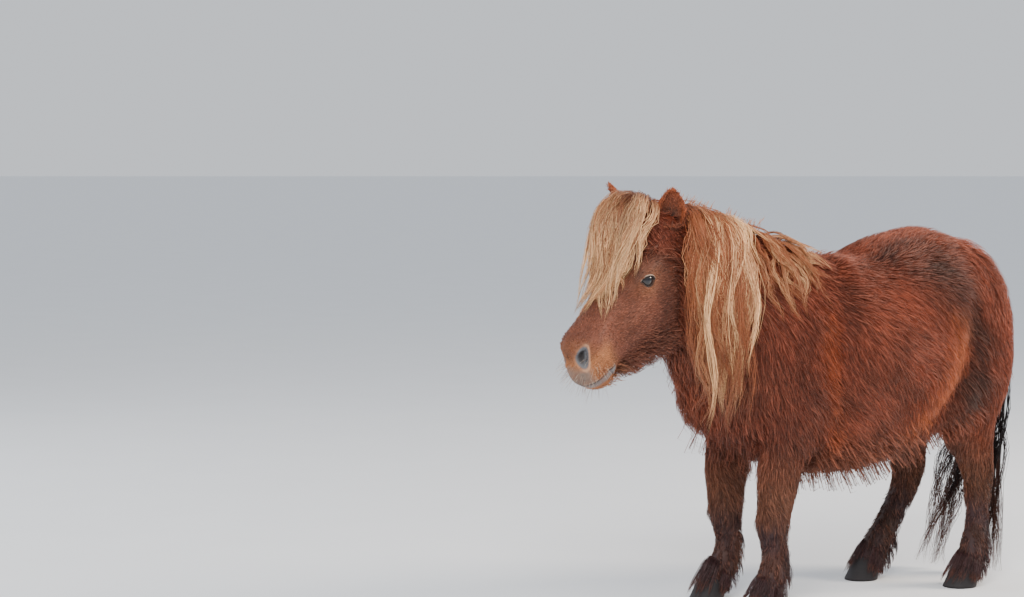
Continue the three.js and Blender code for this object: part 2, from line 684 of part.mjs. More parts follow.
// Tail: a dock that leaves the top of the buttocks and locks that hang nearly to the ground.
const DOCK = new Tube(
  [
    [0, 440, 872, 34, 30, 30],
    [0, 490, 854, 33, 28, 28],
    [-4, 520, 806, 32, 24, 24],
    [-12, 536, 740, 29, 21, 21],
    [-20, 536, 660, 23, 17, 17],
    [-28, 530, 590, 14, 12, 12],
  ],
  { cap: 14 },
);
const dockField = (p) => DOCK.distance(p);
const dockCore = () => wrap(DOCK, dockField, spread(0, 1, 9), 8, { caps: [0, 1] });
const TAIL_TIP = GROUND + 22; // least height of a tip
const TAIL_LOCKS = 14;
function tailLocks() {
  const random = seeded(37);
  return count(TAIL_LOCKS).map((i) => {
    const angle = (2 * Math.PI * i) / TAIL_LOCKS;
    const { centre, side, up, r } = DOCK.frame(random(0.25, 0.85));
    const out = side.clone().multiplyScalar(Math.cos(angle)).addScaledVector(up, Math.sin(angle));
    const root = centre.clone().addScaledVector(out, 0.9 * DOCK.radius(r, Math.cos(angle), Math.sin(angle)));
    const share = ((i * 5) % TAIL_LOCKS) / TAIL_LOCKS; // mixes the order of the tips
    const target = V(lerp(-160, 50, share), lerp(430, 548, share), random(TAIL_TIP, 170));
    const lie = (p) => target.clone().sub(p).setZ(Math.min(-120, (target.z - p.z) * 0.9)).normalize();
    const length = (root.z - target.z) * 1.03;
    const options = { length, steps: 5, clear: 5, lie, sway: random(-0.14, 0.14), pull: 0.6, sink: 5 };
    const hair = strand((p) => Math.min(dockField(p), skin(p)), root, out.clone().add(DOWN), options);
    for (const knot of hair) knot.p.z = Math.max(knot.p.z, TAIL_TIP);
    return lock(hair, random(12, 18), random(3.5, 5));
  });
}

// Rows of short locks that leave the coat flush and break its outline with their tips.
function fringe(seed, roots, { length, wide, thick = 3.2, clear = 10, lie, f = skin }) {
  const random = seeded(seed);
  return roots.map((root) => {
    const drift = () => lie(root).add(V(random(-0.15, 0.15), random(-0.15, 0.15), 0)).normalize();
    const heading = lie(root).projectOnPlane(outward(f, root));
    const reach = { length: length * random(0.75, 1.2), clear: clear * random(0.8, 1.3) };
    const options = { ...reach, steps: 3, lie: drift, pull: 0.3, sink: 5 };
    return lock(strand(f, root, heading, options), wide * random(0.85, 1.15), thick);
  });
}
const rootsOnTrunk = (seed, places, angles) => {
  const random = seeded(seed);
  return places.flatMap((t) => angles.map((a) => above(trunk, t + random(-0.008, 0.008), a + random(-4, 4))));
};
const bodyLie = (p) => V(0.1 * Math.sign(p.x), 0.55, -0.8);
const torsoFringe = () => [
  ...fringe(41, rootsOnTrunk(1, spread(trunk.at(1.5), trunk.at(5.0), 11), [-64, -90, -116]), {
    length: 96,
    wide: 20,
    clear: 12,
    lie: bodyLie,
  }),
  ...fringe(43, rootsOnTrunk(2, spread(trunk.at(6.0), trunk.at(6.4), 2), [-66, -90, -114]), {
    length: 84,
    wide: 22,
    clear: 10,
    lie: () => V(0, 0.25, -1),
  }),
];
// Beard: locks under the jaw from the throat to the chin.
const beard = () => {
  const roots = spread(150, 370, 6).flatMap((a) =>
    [-24, 22].map((l) => {
      const from = onHead(a, l, -90);
      const direction = headTurn(0, 0, -1);
      return from.clone().addScaledVector(direction, castRay(headField, from, direction, 0, 160));
    }),
  );
  const lie = () => V(0, 0.5, -1);
  return fringe(47, roots, { length: 56, wide: 19, thick: 3, clear: 8, lie, f: bodyField });
};

// Feather: locks behind the fetlock and round the pastern that end clear of the ground.
const SOLE_CLEARANCE = GROUND + 12;
function feather(leg, seed) {
  const { tube } = leg;
  const random = seeded(seed);
  const field = (p) => tube.distance(p);
  const rows = [
    { station: 7.6, angles: [-65, -115] },
    { station: 8.7, angles: [-35, -70, -110, -145] },
  ];
  return rows.flatMap(({ station, angles }) =>
    angles.map((degrees) => {
      const { centre, side, up, r } = tube.frame(tube.at(station + random(-0.2, 0.2)));
      const angle = rad(degrees + random(-8, 8));
      const out = side.multiplyScalar(Math.cos(angle)).addScaledVector(up, Math.sin(angle));
      const reach = tube.radius(r, Math.cos(angle), Math.sin(angle));
      const root = centre.clone().addScaledVector(out, reach);
      const lie = () => V(0, 0.3, -1).normalize();
      const length = Math.min(random(48, 66), (root.z - SOLE_CLEARANCE) * 0.95);
      const options = { length, steps: 2, clear: 4, lie, sink: 7 };
      const hair = strand(field, root, out.clone().add(DOWN), options);
      for (const knot of hair) knot.p.z = Math.max(knot.p.z, SOLE_CLEARANCE);
      return lock(hair, random(15, 19), 3);
    }),
  );
}

// A hoof: a wall that flares from the coronet's slanted ring to a flat sole.
const HOOF_SIDES = 14;
const SOLE = { side: 45, toe: 54, heel: 43, lead: 18 }; // reach of the sole, and how far it leads
function hoof(leg) {
  const { tube } = leg;
  const { centre, side, up, along, r } = tube.frame(1);
  const top = centre.clone().addScaledVector(along, GAP + 0.1);
  const sole = V(centre.x, centre.y - SOLE.lead, GROUND);
  const ringAt = (share) =>
    count(HOOF_SIDES).map((j) => {
      const angle = (2 * Math.PI * j) / HOOF_SIDES;
      const [x, y] = [Math.cos(angle), Math.sin(angle)];
      const reach = tube.radius(r, x, y) * 0.96;
      const upper = top.clone().addScaledVector(side, reach * x).addScaledVector(up, reach * y);
      const lower = sole.clone().add(V(SOLE.side * x, -(y > 0 ? SOLE.toe : SOLE.heel) * y, 0));
      return upper.lerp(lower, share);
    });
  const rings = [ringAt(0), ringAt(1)];
  return solid(loft(rings, middle(rings[0]), middle(rings.at(-1))));
}

const pony = new THREE.Group();
function add(name, made, colour, roughness = 0.9) {
  const material = new THREE.MeshStandardMaterial({ color: colour, roughness, metalness: 0 });
  const mesh = new THREE.Mesh(geometryOf(made), material);
  mesh.name = name;
  pony.add(mesh);
}

const torsoGrown = torsoWrap(CUT);
const frontGrown = headAndNeck(CUT);
const front = headAndNeck(0);
const earsGrown = Object.values(EARS).map((ear) => earShell(ear, 1));
const neck = cut(front, [headSide(-GAP)]);
const skull = front.intersect(headSide(0));
const lids = bothSides((s) => [eyeBall(s, LID)]);
const openings = bothSides((s) => [eyeBall(s, GAP), lidOpening(s), nostril(s)]);
const legsGrown = LEGS.flatMap((leg) => [upperLeg(leg, CUT), lowerLeg(leg, CUT)]);
add("torso", join([torsoWrap(0), cut(join(torsoFringe()), legsGrown)]), COLOURS.coat);
add("neck", neck, COLOURS.neck);
add("head", cut(join([skull, ...lids, ...beard()]), [...openings, mouthGroove()]), COLOURS.head);
for (const [side, ear] of Object.entries(EARS)) {
  add(`ear_${side}`, cut(earShell(ear, 0), [earCup(ear), frontGrown]), COLOURS.ear);
  add(`eye_${side}`, eyeBall(ear.s), COLOURS.eye, 0.1);
}
const flesh = [torsoGrown, frontGrown, ...earsGrown];
const behindPoll = block(onHead(-240, 0, 60), HEAD_AXES, [212, 150, 110]);
const abovePoll = block(onHead(172 + GAP, 0, 60), HEAD_AXES, [200, 110, 110]);
add("mane", cut(join([maneCore(), ...maneLocks()]), [...flesh, abovePoll]), COLOURS.mane);
add("forelock", cut(join([forelockPad(), ...forelockLocks()]), [...flesh, behindPoll]), COLOURS.forelock);
LEGS.forEach((leg, i) => {
  add(`leg_${leg.name}_upper`, cut(upperLeg(leg, 0), [torsoGrown]), COLOURS.upperLeg);
  add(`leg_${leg.name}_lower`, join([lowerLeg(leg, 0), ...feather(leg, 61 + i)]), COLOURS.lowerLeg);
  add(`hoof_${leg.name}`, hoof(leg), COLOURS.hoof, 0.5);
});
add("tail", cut(join([dockCore(), ...tailLocks()]), [torsoGrown, ...legsGrown]), COLOURS.tail);

pony.scale.setScalar(WITHERS / DESIGN_WITHERS);
pony.position.set(0, -MIDDLE, -GROUND);
export default pony;
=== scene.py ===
"""A Shetland pony in its winter coat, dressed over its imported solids.

The pony faces -Y, its left side is +X and its hooves stand on z = 0. The same tubes and muscles that
shape the solids give the skin its form, the coat its lie and the long hair its distance from the body.
"""

import math
from types import SimpleNamespace

import bmesh
import bpy
import numpy as np
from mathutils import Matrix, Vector
from mathutils.kdtree import KDTree

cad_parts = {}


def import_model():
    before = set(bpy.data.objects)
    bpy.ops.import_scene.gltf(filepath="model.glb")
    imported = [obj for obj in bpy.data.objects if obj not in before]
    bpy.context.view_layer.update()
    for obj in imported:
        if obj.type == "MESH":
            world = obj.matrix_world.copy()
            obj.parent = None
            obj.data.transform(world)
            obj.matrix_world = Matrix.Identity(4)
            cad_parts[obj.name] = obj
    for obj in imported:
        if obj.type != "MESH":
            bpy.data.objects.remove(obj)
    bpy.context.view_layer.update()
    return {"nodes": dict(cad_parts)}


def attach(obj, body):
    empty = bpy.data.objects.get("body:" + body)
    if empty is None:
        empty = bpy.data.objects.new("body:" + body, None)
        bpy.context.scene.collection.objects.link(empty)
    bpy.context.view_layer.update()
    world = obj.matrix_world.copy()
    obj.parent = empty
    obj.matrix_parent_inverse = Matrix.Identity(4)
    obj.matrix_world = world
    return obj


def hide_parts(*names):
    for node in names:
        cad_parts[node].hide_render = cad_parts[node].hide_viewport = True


MM = 0.001
SHIFT = np.array([0.0, 0.178, -0.012])  # from the lengths below, once in metres, to the frame
HEAD_YAW = 19.0
HEAD_PITCH = 43.0
POLL = np.array([-6.0, -650.0, 1024.0])
STANCE = 112.0
LEFT, RIGHT = 1, -1

# Hair that would touch the floor stays clear of it, and starts to bend a little above that.
FLOOR_CLEAR = 2 * MM
FLOOR_BEND = 10 * MM

# The camera, as solved from the photo's outline: where it stands, the way opposite to its view, and
# its focal length in pixels of an image of this size.
CAMERA_PLACE = (4.65497, -3.82590, 1.18974)
CAMERA_BACK = (0.843162, -0.533654, 0.065509)
CAMERA_LENS_PX = 2275.0
IMAGE_SIZE = (1024, 597)
SENSOR_WIDTH = 36.0


def linear(text):
    """A hex colour as linear RGB."""
    value = np.array([int(text[i : i + 2], 16) / 255 for i in (1, 3, 5)])
    return np.where(value <= 0.04045, value / 12.92, ((value + 0.055) / 1.055) ** 2.4)


# Colours of the photo.
CHESTNUT = linear("#823a23")
FLANK_RIM_LIGHT = linear("#bb6030")
CROUP_DARK_AND_SHADOW = linear("#37150c")
BACK_SHEEN = linear("#94553f")
HAIR_PALE = linear("#a87460")
SHOULDER_DARK = linear("#5a2112")
SHOULDER_RIM_LIGHT = linear("#9c451e")
BELLY_BROWN = linear("#86472f")
LEG_BROWN = linear("#6d432f")
GASKIN_BROWN = linear("#50301f")
LEG_DARK = linear("#3a2526")
CHEEK_BROWN = linear("#6e3c2c")
FACE_BROWN = linear("#74402d")
MUZZLE_ORANGE = linear("#bd7a4c")
LIP_PALE = linear("#d0bda9")
LIP_GREY = linear("#6d6d6f")
LIP_WARM = linear("#62625f")
NOSTRIL_RIM = linear("#b98d6f")
NOSTRIL_SHADE_GREY = linear("#66676b")
SKIN_DARK_AND_SHADE = linear("#2a2220")
EAR_ORANGE = linear("#9d502d")
CREAM = linear("#f2c591")
FLAXEN = linear("#b5764f")
MANE_RED = linear("#7c3c1f")
TAIL_DARK = linear("#1f1617")
TAIL_RED = linear("#5c3527")
EYE_BROWN = linear("#1d1512")
EYE_DARK = linear("#0b0809")
EYE_EDGE = linear("#1c1512")
PUPIL_DARK_SKY_TINT = linear("#070a12")
HOOF_DARK = linear("#151317")
HOOF_GREY = linear("#241f20")
FLOOR_GREY = (0.79, 0.81, 0.84)
FLOOR_PALE = (0.83, 0.85, 0.88)
SHEEN_TINT = (1.0, 0.8, 0.68)
SKY = (0.90, 0.94, 1.0)


def unit(vectors):
    return vectors / np.maximum(np.linalg.norm(vectors, axis=-1, keepdims=True), 1e-12)


def smoothstep(value, low, high):
    """0 at low and 1 at high, with a soft start and end. Low may be the larger of the two."""
    share = np.clip((value - low) / (high - low), 0, 1)
    return share * share * (3 - 2 * share)


def bell(offset, width):
    """1 where the offset is 0, and about a third where it equals the width."""
    return np.exp(-((offset / width) ** 2))


def mix(first, second, share):
    """Colours or directions between first and second, in rows of three where the share is a row."""
    return first + (second - first) * np.asarray(share)[..., None]


def place(points):
    """Lengths in millimetres to places in the frame."""
    return np.asarray(points, float) * MM + SHIFT


def waves(points, size, seed, octaves=3):
    """A smooth pattern from about -1 to 1 that changes over the given size in metres."""
    rng = np.random.default_rng(seed)
    total = np.zeros(len(points))
    for octave in range(octaves):
        for _ in range(5):
            heading = unit(rng.normal(size=3))
            bend = unit(rng.normal(size=3))
            phase = rng.uniform(0, 2 * math.pi, 2)
            reach = size / 2**octave
            warp = 1.2 * np.sin(points @ bend / reach + phase[0])
            wave = np.sin(points @ heading * (2 * math.pi / reach) / 2 + warp + phase[1])
            total += wave / (1.6**octave * 3)
    return total


def smooth_curve(knots, share):
    """Catmull-Rom through the rows of knots, at shares of the way from the first to the last."""
    ends = np.vstack([2 * knots[0] - knots[1], knots, 2 * knots[-1] - knots[-2]])
    at = np.clip(share, 0, 1) * (len(knots) - 1)
    first = np.minimum(at.astype(int), len(knots) - 2)
    w = (at - first)[:, None]
    a, b, c, d = (ends[first + k] for k in range(4))
    lead, trail = (c - a) / 2, (d - b) / 2
    return b + w * lead + w**2 * (3 * (c - b) - 2 * lead - trail) + w**3 * (2 * (b - c) + lead + trail)


class Tube:
    """A tube round a spine. Stations are x, y, z, side, above, below and the side axis's turn in degrees."""

    SAMPLES = 6

    def __init__(self, stations, square=2.0, cap=30.0):
        knots = np.array([(*s, 0.0)[:7] for s in stations], float)
        self.square = square
        self.cap = cap * MM
        self.last = len(knots) - 1
        share = np.linspace(0, 1, self.last * self.SAMPLES + 1)
        rows = smooth_curve(knots, share)
        step = smooth_curve(knots, share + 1e-4) - smooth_curve(knots, share - 1e-4)
        self.centre = place(rows[:, :3])
        self.reach = rows[:, 3:6] * MM
        self.along = unit(step[:, :3])
        turn = np.radians(rows[:, 6])
        side = np.stack([np.cos(turn), np.sin(turn), 0 * turn], axis=1)
        side -= self.along * (side * self.along).sum(1, keepdims=True)
        self.side = unit(side)
        self.up = np.cross(self.along, self.side)

    def at(self, station):
        return station / self.last

    def frame(self, share):
        """Centre, side, up, along and reach at shares of the way along."""
        at = np.clip(share, 0, 1) * (len(self.centre) - 1)
        first = np.minimum(at.astype(int), len(self.centre) - 2)
        w = (at - first)[:, None]
        rows = (self.centre, self.side, self.up, self.along, self.reach)
        return [row[first] * (1 - w) + row[first + 1] * w for row in rows]

    def radius(self, reach, x, y):
        size = np.maximum(np.hypot(x, y), 1e-9)
        tall = np.where(y > 0, reach[:, 1], reach[:, 2])
        across = (np.abs(x / size) / reach[:, 0]) ** self.square
        upright = (np.abs(y / size) / tall) ** self.square
        return (across + upright) ** (-1 / self.square)

    def nearest(self, points):
        """Each point's share of the way along and its offset along side, up and the spine."""
        start, run = self.centre[:-1], np.diff(self.centre, axis=0)
        length = (run**2).sum(1)
        dot = points @ run.T - (start * run).sum(1)
        share = np.clip(dot / length, 0, 1)
        apart = (points**2).sum(1)[:, None] - 2 * points @ start.T + (start**2).sum(1)
        apart += share * (share * length - 2 * dot)
        index = apart.argmin(1)
        inside = share[np.arange(len(points)), index]
        along = (index + inside) / (len(self.centre) - 1)
        centre, side, up, forward, reach = self.frame(along)
        away = points - centre
        return along, (away * side).sum(1), (away * up).sum(1), (away * forward).sum(1), reach

    def distance(self, points):
        _, x, y, z, reach = self.nearest(points)
        r = self.radius(reach, x, y)
        return (np.hypot(np.hypot(x, y) / r, z / self.cap) - 1) * r


def smooth_union(a, b, width):
    h = np.maximum(width - np.abs(a - b), 0) / width
    return np.minimum(a, b) - h * h * width / 4


def lump(centre, axes, sizes):
    """The field of an ellipsoid. The centre is in the frame and the sizes are in millimetres."""
    sizes = np.array(sizes) * MM
    axes = np.array(axes)
    return lambda p: (np.linalg.norm((p - centre) @ axes.T / sizes, axis=1) - 1) * sizes.min()


def muscle(centre, length, depth, width, slope):
    """A muscle of the trunk, with its long axis slope degrees above level."""
    turn = math.radians(slope)
    long = np.array([0, -math.cos(turn), math.sin(turn)])
    across = np.array([1.0, 0, 0])
    return lump(place(centre), [long, np.cross(long, across), across], [length, depth, width])


# Trunk and neck, from the buttocks to the poll.
TRUNK = Tube(
    [
        (0, 355, 690, 206, 284, 256),
        (0, 275, 684, 230, 308, 250),
        (0, 165, 676, 254, 294, 268),
        (0, 40, 660, 270, 266, 300),
        (0, -80, 655, 264, 268, 312),
        (0, -190, 668, 232, 272, 306),
        (0, -290, 715, 198, 252, 285),
        (-1, -385, 778, 164, 224, 246, 2),
        (-3, -475, 846, 132, 184, 200, 5),
        (-6, -552, 908, 112, 144, 160, 9),
        (-9, -612, 950, 96, 104, 130, 12),
    ],
    square=2.2,
    cap=188,
)

# The head's own axes: along the face to the muzzle, to its left, and out of the face.
_yaw, _pitch = math.radians(HEAD_YAW), math.radians(HEAD_PITCH)
HEAD_LEFT = np.array([math.cos(_yaw), math.sin(_yaw), 0])
HEAD_ALONG = np.array([math.sin(_yaw), -math.cos(_yaw), 0]) * math.cos(_pitch)
HEAD_ALONG[2] = -math.sin(_pitch)
HEAD_OUT = np.cross(HEAD_ALONG, HEAD_LEFT)
HEAD_AXES = np.array([HEAD_ALONG, HEAD_LEFT, HEAD_OUT])


def head_turn(along, left, out):
    return np.array([along, left, out], float) @ HEAD_AXES


def on_head(along, left, out):
    return place(POLL + head_turn(along, left, out))


def head_offsets(points):
    """Places in the frame as millimetres along, left and out of the face, from the poll."""
    return ((points - SHIFT) / MM - POLL) @ HEAD_AXES.T


HEAD = Tube(
    [
        (*(POLL + head_turn(along, 0, out)), side, above, below, HEAD_YAW)
        for along, out, side, above, below in [
            (-40, -80, 70, 60, 78),
            (16, -88, 84, 88, 108),
            (90, -96, 92, 96, 134),
            (170, -102, 92, 101, 138),
            (238, -98, 76, 97, 124),
            (306, -88, 61, 85, 100),
            (364, -78, 53, 75, 78),
            (400, -77, 54, 66, 72),
            (418, -80, 49, 56, 58),
        ]
    ],
    square=2.5,
    cap=38,
)
HEAD_LUMPS = [
    lump(on_head(along, left * side, out), HEAD_AXES, sizes)
    for side in (LEFT, RIGHT)
    for along, left, out, sizes in [
        (178, 48, -130, (86, 42, 84)),  # cheek
        (150, 66, -18, (46, 28, 20)),  # brow
        (178, 60, -32, (38, 26, 30)),  # socket of the eye
        (250, 62, -68, (64, 16, 14)),  # crest below the eye
        (400, 36, -38, (32, 18, 32)),  # nostril wing
    ]
] + [
    lump(on_head(322, 0, -18), HEAD_AXES, (116, 42, 18)),  # bridge of the nose
    lump(on_head(443, 0, -88), HEAD_AXES, (33, 43, 35)),  # upper lip
    lump(on_head(425, 0, -130), HEAD_AXES, (30, 33, 21)),  # lower lip
    lump(on_head(402, 0, -144), HEAD_AXES, (31, 30, 25)),  # chin
]


def leg_tube(stations, side, top):
    """A leg whose centre line leans from the shoulder or hip to the stance."""
    rows = []
    for y, z, wide, front, back in stations:
        x = side * (STANCE + (top - STANCE) * smoothstep(z, 100, 600))
        rows.append((x, y, z, wide, front, back))
    return Tube(rows, square=2.1, cap=30)


LEGS = {
    "left_fore": leg_tube(
        [
            (-285, 600, 62, 76, 80),
            (-308, 500, 64, 72, 80),
            (-320, 420, 58, 62, 68),
            (-328, 340, 50, 52, 56),
            (-334, 280, 44, 46, 46),
            (-337, 240, 43, 46, 40),
            (-334, 200, 36, 37, 35),
            (-332, 160, 32, 32, 35),
            (-334, 122, 34, 36, 40),
            (-343, 92, 36, 38, 42),
            (-357, 64, 41, 38, 44),
        ],
        LEFT,
        128,
    ),
    "right_fore": leg_tube(
        [
            (-285, 600, 62, 76, 80),
            (-304, 500, 64, 72, 80),
            (-308, 420, 58, 62, 68),
            (-310, 340, 51, 54, 60),
            (-312, 280, 46, 48, 50),
            (-314, 240, 44, 46, 44),
            (-311, 200, 37, 37, 38),
            (-309, 160, 33, 32, 37),
            (-314, 122, 35, 36, 42),
            (-332, 92, 37, 39, 44),
            (-356, 64, 41, 40, 46),
        ],
        RIGHT,
        128,
    ),
    "left_hind": leg_tube(
        [
            (304, 600, 96, 118, 112),
            (322, 510, 86, 108, 98),
            (342, 430, 62, 74, 72),
            (362, 368, 50, 54, 52),
            (376, 318, 42, 46, 43),
            (377, 262, 34, 38, 36),
            (376, 205, 29, 30, 32),
            (370, 150, 31, 32, 36),
            (364, 116, 34, 36, 42),
            (354, 88, 37, 38, 42),
            (340, 62, 41, 38, 44),
        ],
        LEFT,
        122,
    ),
    "right_hind": leg_tube(
        [
            (290, 600, 96, 118, 112),
            (305, 510, 86, 108, 98),
            (318, 430, 64, 80, 74),
            (330, 368, 52, 62, 56),
            (334, 318, 45, 53, 47),
            (318, 262, 37, 40, 38),
            (281, 205, 32, 33, 35),
            (246, 150, 34, 35, 38),
            (222, 116, 37, 38, 44),
            (202, 88, 38, 38, 44),
            (182, 62, 41, 38, 44),
        ],
        RIGHT,
        122,
    ),
}
TRUNK_MUSCLES = [
    muscle((x * side, y, z), *shape)
    for side in (LEFT, RIGHT)
    for x, y, z, shape in [
        (112, -316, 636, (165, 92, 92, 62)),  # shoulder
        (102, 325, 645, (185, 108, 114, 74)),  # haunch
        (58, -408, 562, (88, 92, 84, 40)),  # breast
    ]
]


def blend_fields(pieces, points, width):
    total = pieces[0](points)
    for piece in pieces[1:]:
        total = smooth_union(total, piece(points), width)
    return total


def body_field(points):
    """Roughly the distance from trunk, neck and head, negative inside."""
    trunk = blend_fields([TRUNK.distance, *TRUNK_MUSCLES], points, 70 * MM)
    head = blend_fields([HEAD.distance, *HEAD_LUMPS], points, 24 * MM)
    return smooth_union(trunk, head, 60 * MM)


def flesh_field(points):
    """The whole flesh, with the legs."""
    total = body_field(points)
    for leg in LEGS.values():
        near = np.linalg.norm((points - leg.centre[len(leg.centre) // 2])[:, 1:], axis=1) < 0.55
        if near.any():
            total[near] = smooth_union(total[near], leg.distance(points[near]), 60 * MM)
    return total


def in_chunks(field, points, size=20000):
    if not len(points):
        return np.zeros(0)
    return np.concatenate([field(points[i : i + size]) for i in range(0, len(points), size)])


def slope(field, points):
    """The direction in which the field grows."""
    step = 1 * MM
    sides = [(in_chunks(field, points + d) - in_chunks(field, points - d)) for d in step * np.eye(3)]
    return unit(np.stack(sides, axis=1))


# Reading and writing meshes.
def read_mesh(mesh):
    points = np.empty(len(mesh.vertices) * 3)
    mesh.vertices.foreach_get("co", points)
    return points.reshape(-1, 3)


def read_normals(mesh):
    normals = np.empty(len(mesh.vertices) * 3)
    mesh.vertices.foreach_get("normal", normals)
    return normals.reshape(-1, 3)


def write_mesh(mesh, points):
    mesh.vertices.foreach_set("co", points.ravel())
    mesh.update()


def new_object(name, points, faces, corners=3):
    """A smooth-shaded mesh object from arrays whose faces all have as many corners."""
    mesh = bpy.data.meshes.new(name)
    mesh.vertices.add(len(points))
    mesh.vertices.foreach_set("co", np.asarray(points, np.float32).ravel())
    mesh.loops.add(faces.size)
    mesh.loops.foreach_set("vertex_index", faces.astype(np.int32).ravel())
    mesh.polygons.add(len(faces))
    mesh.polygons.foreach_set("loop_start", np.arange(0, faces.size, corners, dtype=np.int32))
    mesh.polygons.foreach_set("use_smooth", np.ones(len(faces), bool))
    mesh.update(calc_edges=True)
    obj = bpy.data.objects.new(name, mesh)
    bpy.context.scene.collection.objects.link(obj)
    return obj


def set_attribute(obj, name, values):
    """A value or a colour for each vertex."""
    if values.ndim == 1:
        obj.data.attributes.new(name, "FLOAT", "POINT").data.foreach_set("value", values.astype(np.float32))
        return
    rgba = np.ones((len(values), 4), np.float32)
    rgba[:, :3] = values
    obj.data.attributes.new(name, "FLOAT_COLOR", "POINT").data.foreach_set("color", rgba.ravel())


def dress(obj, material, slot, *nodes):
    """Gives a piece its material. It rides on the body and stands for the nodes."""
    obj.data.materials.clear()
    obj.data.materials.append(material)
    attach(obj, "root")
    if nodes:
        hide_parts(*nodes)


# Lines of the left side, in millimetres: the barrel's and the shoulder's rear rims as height and place
# along the body, and the band of dark wet hair with painted shadow over the haunch as place and height.
BARREL_RIM = ((441, 38), (499, 85), (558, 133), (616, 176), (708, 203), (757, 210), (805, 200))
SHOULDER_RIM = ((396, -148), (483, -186), (564, -209), (666, -218), (742, -214), (816, -198))
DARK_SHADOW_BAND = ((60, 908), (115, 905), (158, 862), (205, 812), (245, 755), (264, 700), (262, 630), (238, 558))


# Places of the body, as weights from 0 to 1.
def places(points):
    """Named measures of each point that the coat's length, lie and colour are told by."""
    share, x, y, _, reach = TRUNK.nearest(points)
    trunk = TRUNK.distance(points)
    head = HEAD.distance(points)
    legs = np.min([leg.distance(points) for leg in LEGS.values()], axis=0)
    face = head_offsets(points)
    height = points[:, 2]
    is_head = smoothstep(trunk - head, -0.03, 0.02) * smoothstep(face[:, 0], -10, 60)
    leg_bound = np.where(points[:, 1] < 0.1, 0.40, 0.45)
    below = 1 - smoothstep(height, leg_bound - 0.08, leg_bound + 0.08)
    is_leg = smoothstep(trunk - legs, -0.02, 0.04) * below
    return SimpleNamespace(
        share=share,
        angle=np.degrees(np.arctan2(y, np.abs(x))),  # 90 on the back, 0 on the flank, -90 below
        head=is_head,
        leg=is_leg,
        lower_leg=is_leg * (1 - smoothstep(height, 0.20, 0.30)),
        face=face,
        height=height,
        behind_barrel=behind_line(points, BARREL_RIM),
        behind_shoulder=behind_line(points, SHOULDER_RIM),
    )


def behind_line(points, line):
    """How far a place lies behind a line of heights and places along the body, in metres."""
    heights, along = np.array(line).T
    return points[:, 1] - SHIFT[1] - MM * np.interp((points[:, 2] - SHIFT[2]) / MM, heights, along)


def far_from_band(points):
    """The distance from the band of dark wet hair and painted shadow that runs from the loin over the haunch
    to the stifle, in metres.
    """
    y, z = points[:, 1:2] - SHIFT[1], points[:, 2:] - SHIFT[2]
    band = smooth_curve(np.array(DARK_SHADOW_BAND, float) * MM, np.linspace(0, 1, 30))
    return np.sqrt(((y - band[:, 0]) ** 2 + (z - band[:, 1]) ** 2).min(1))


def coat_colour(points, where):
    """The markings, the same for skin and tufts, with painted rim light by the rims of barrel and shoulder,
    painted sheen on the back and painted shadow in the dark band over the haunch.
    """
    angle, height = where.angle, where.height
    broad = waves(points, 0.16, 5)
    fine = waves(points * (1, 1, 0.6), 0.05, 9)
    colour = mix(CHESTNUT, BELLY_BROWN, 0.5 * smoothstep(angle, -20, -62))
    shoulder = bell(where.share - TRUNK.at(5.7), 0.09) * smoothstep(angle, 60, 10)
    colour = mix(colour, SHOULDER_DARK, 0.75 * shoulder * np.clip(0.8 + 0.4 * broad, 0, 1))
    # Painted sheen: the top of the back is paler, as where light falls on it.
    back = smoothstep(angle, 50, 80)
    colour = mix(colour, BACK_SHEEN, 0.2 * back * np.clip(0.5 + broad, 0, 1))
    # Dark wet hair in patches, with painted shadow, in a band over the haunch; weaker on the right side.
    patches = 0.62 + 0.38 * smoothstep(waves(points * (1, 0.5, 1.2), 0.085, 21), -1.0, 0.6)
    band = bell(far_from_band(points), 0.07) * smoothstep(np.abs(points[:, 0]), 0.02, 0.11)
    seen_side = 0.6 + 0.4 * smoothstep(points[:, 0], -0.05, 0.05)
    colour = mix(colour, CROUP_DARK_AND_SHADOW, band * patches * seen_side)
    # Painted rim light: orange just behind the barrel's rim.
    flank = smoothstep(height, 0.42, 0.50) * smoothstep(height, 0.82, 0.70) * smoothstep(angle, 45, 25)
    colour = mix(colour, FLANK_RIM_LIGHT, 0.85 * (bell(where.behind_barrel + 0.026, 0.05) * flank))
    # Painted rim light: orange just in front of the shoulder's rim.
    side = smoothstep(height, 0.38, 0.46) * smoothstep(height, 0.84, 0.74) * smoothstep(angle, 50, 30)
    colour = mix(colour, SHOULDER_RIM_LIGHT, 0.75 * (bell(where.behind_shoulder + 0.022, 0.026) * side))
    hind = smoothstep(points[:, 1:2], 0.1, 0.25)
    leg_tone = LEG_BROWN * (1 - hind) + GASKIN_BROWN * hind
    colour = mix(colour, leg_tone, 0.9 * smoothstep(height, 0.50, 0.30) * (1 - where.head))
    colour = mix(colour, LEG_DARK, where.lower_leg * np.clip(0.85 + 0.3 * fine, 0, 1))
    colour = mix(colour, face_colour(where.face), where.head)
    return colour * np.clip(1 + 0.16 * fine + 0.14 * broad, 0.5, 1.5)[:, None]


def face_colour(offsets):
    """Brown, darker under the cheek, and orange on the muzzle and round the eyes."""
    along, _, out = offsets.T
    face = mix(FACE_BROWN, CHEEK_BROWN, smoothstep(out, -60, -130))
    muzzle = smoothstep(along, 350, 405) * smoothstep(out, -18, -66) + 0.35 * smoothstep(along, 395, 440)
    face = mix(face, MUZZLE_ORANGE, 0.85 * np.clip(muzzle, 0, 1))
    eye = np.exp(-(((along - 184) / 34) ** 2 + ((out + 34) / 26) ** 2))
    return mix(face, MUZZLE_ORANGE, 0.45 * eye)


def on_front(where):
    """1 on shoulder and neck, and 0 on barrel and haunch."""
    return smoothstep(where.share, 0.55, 0.68)


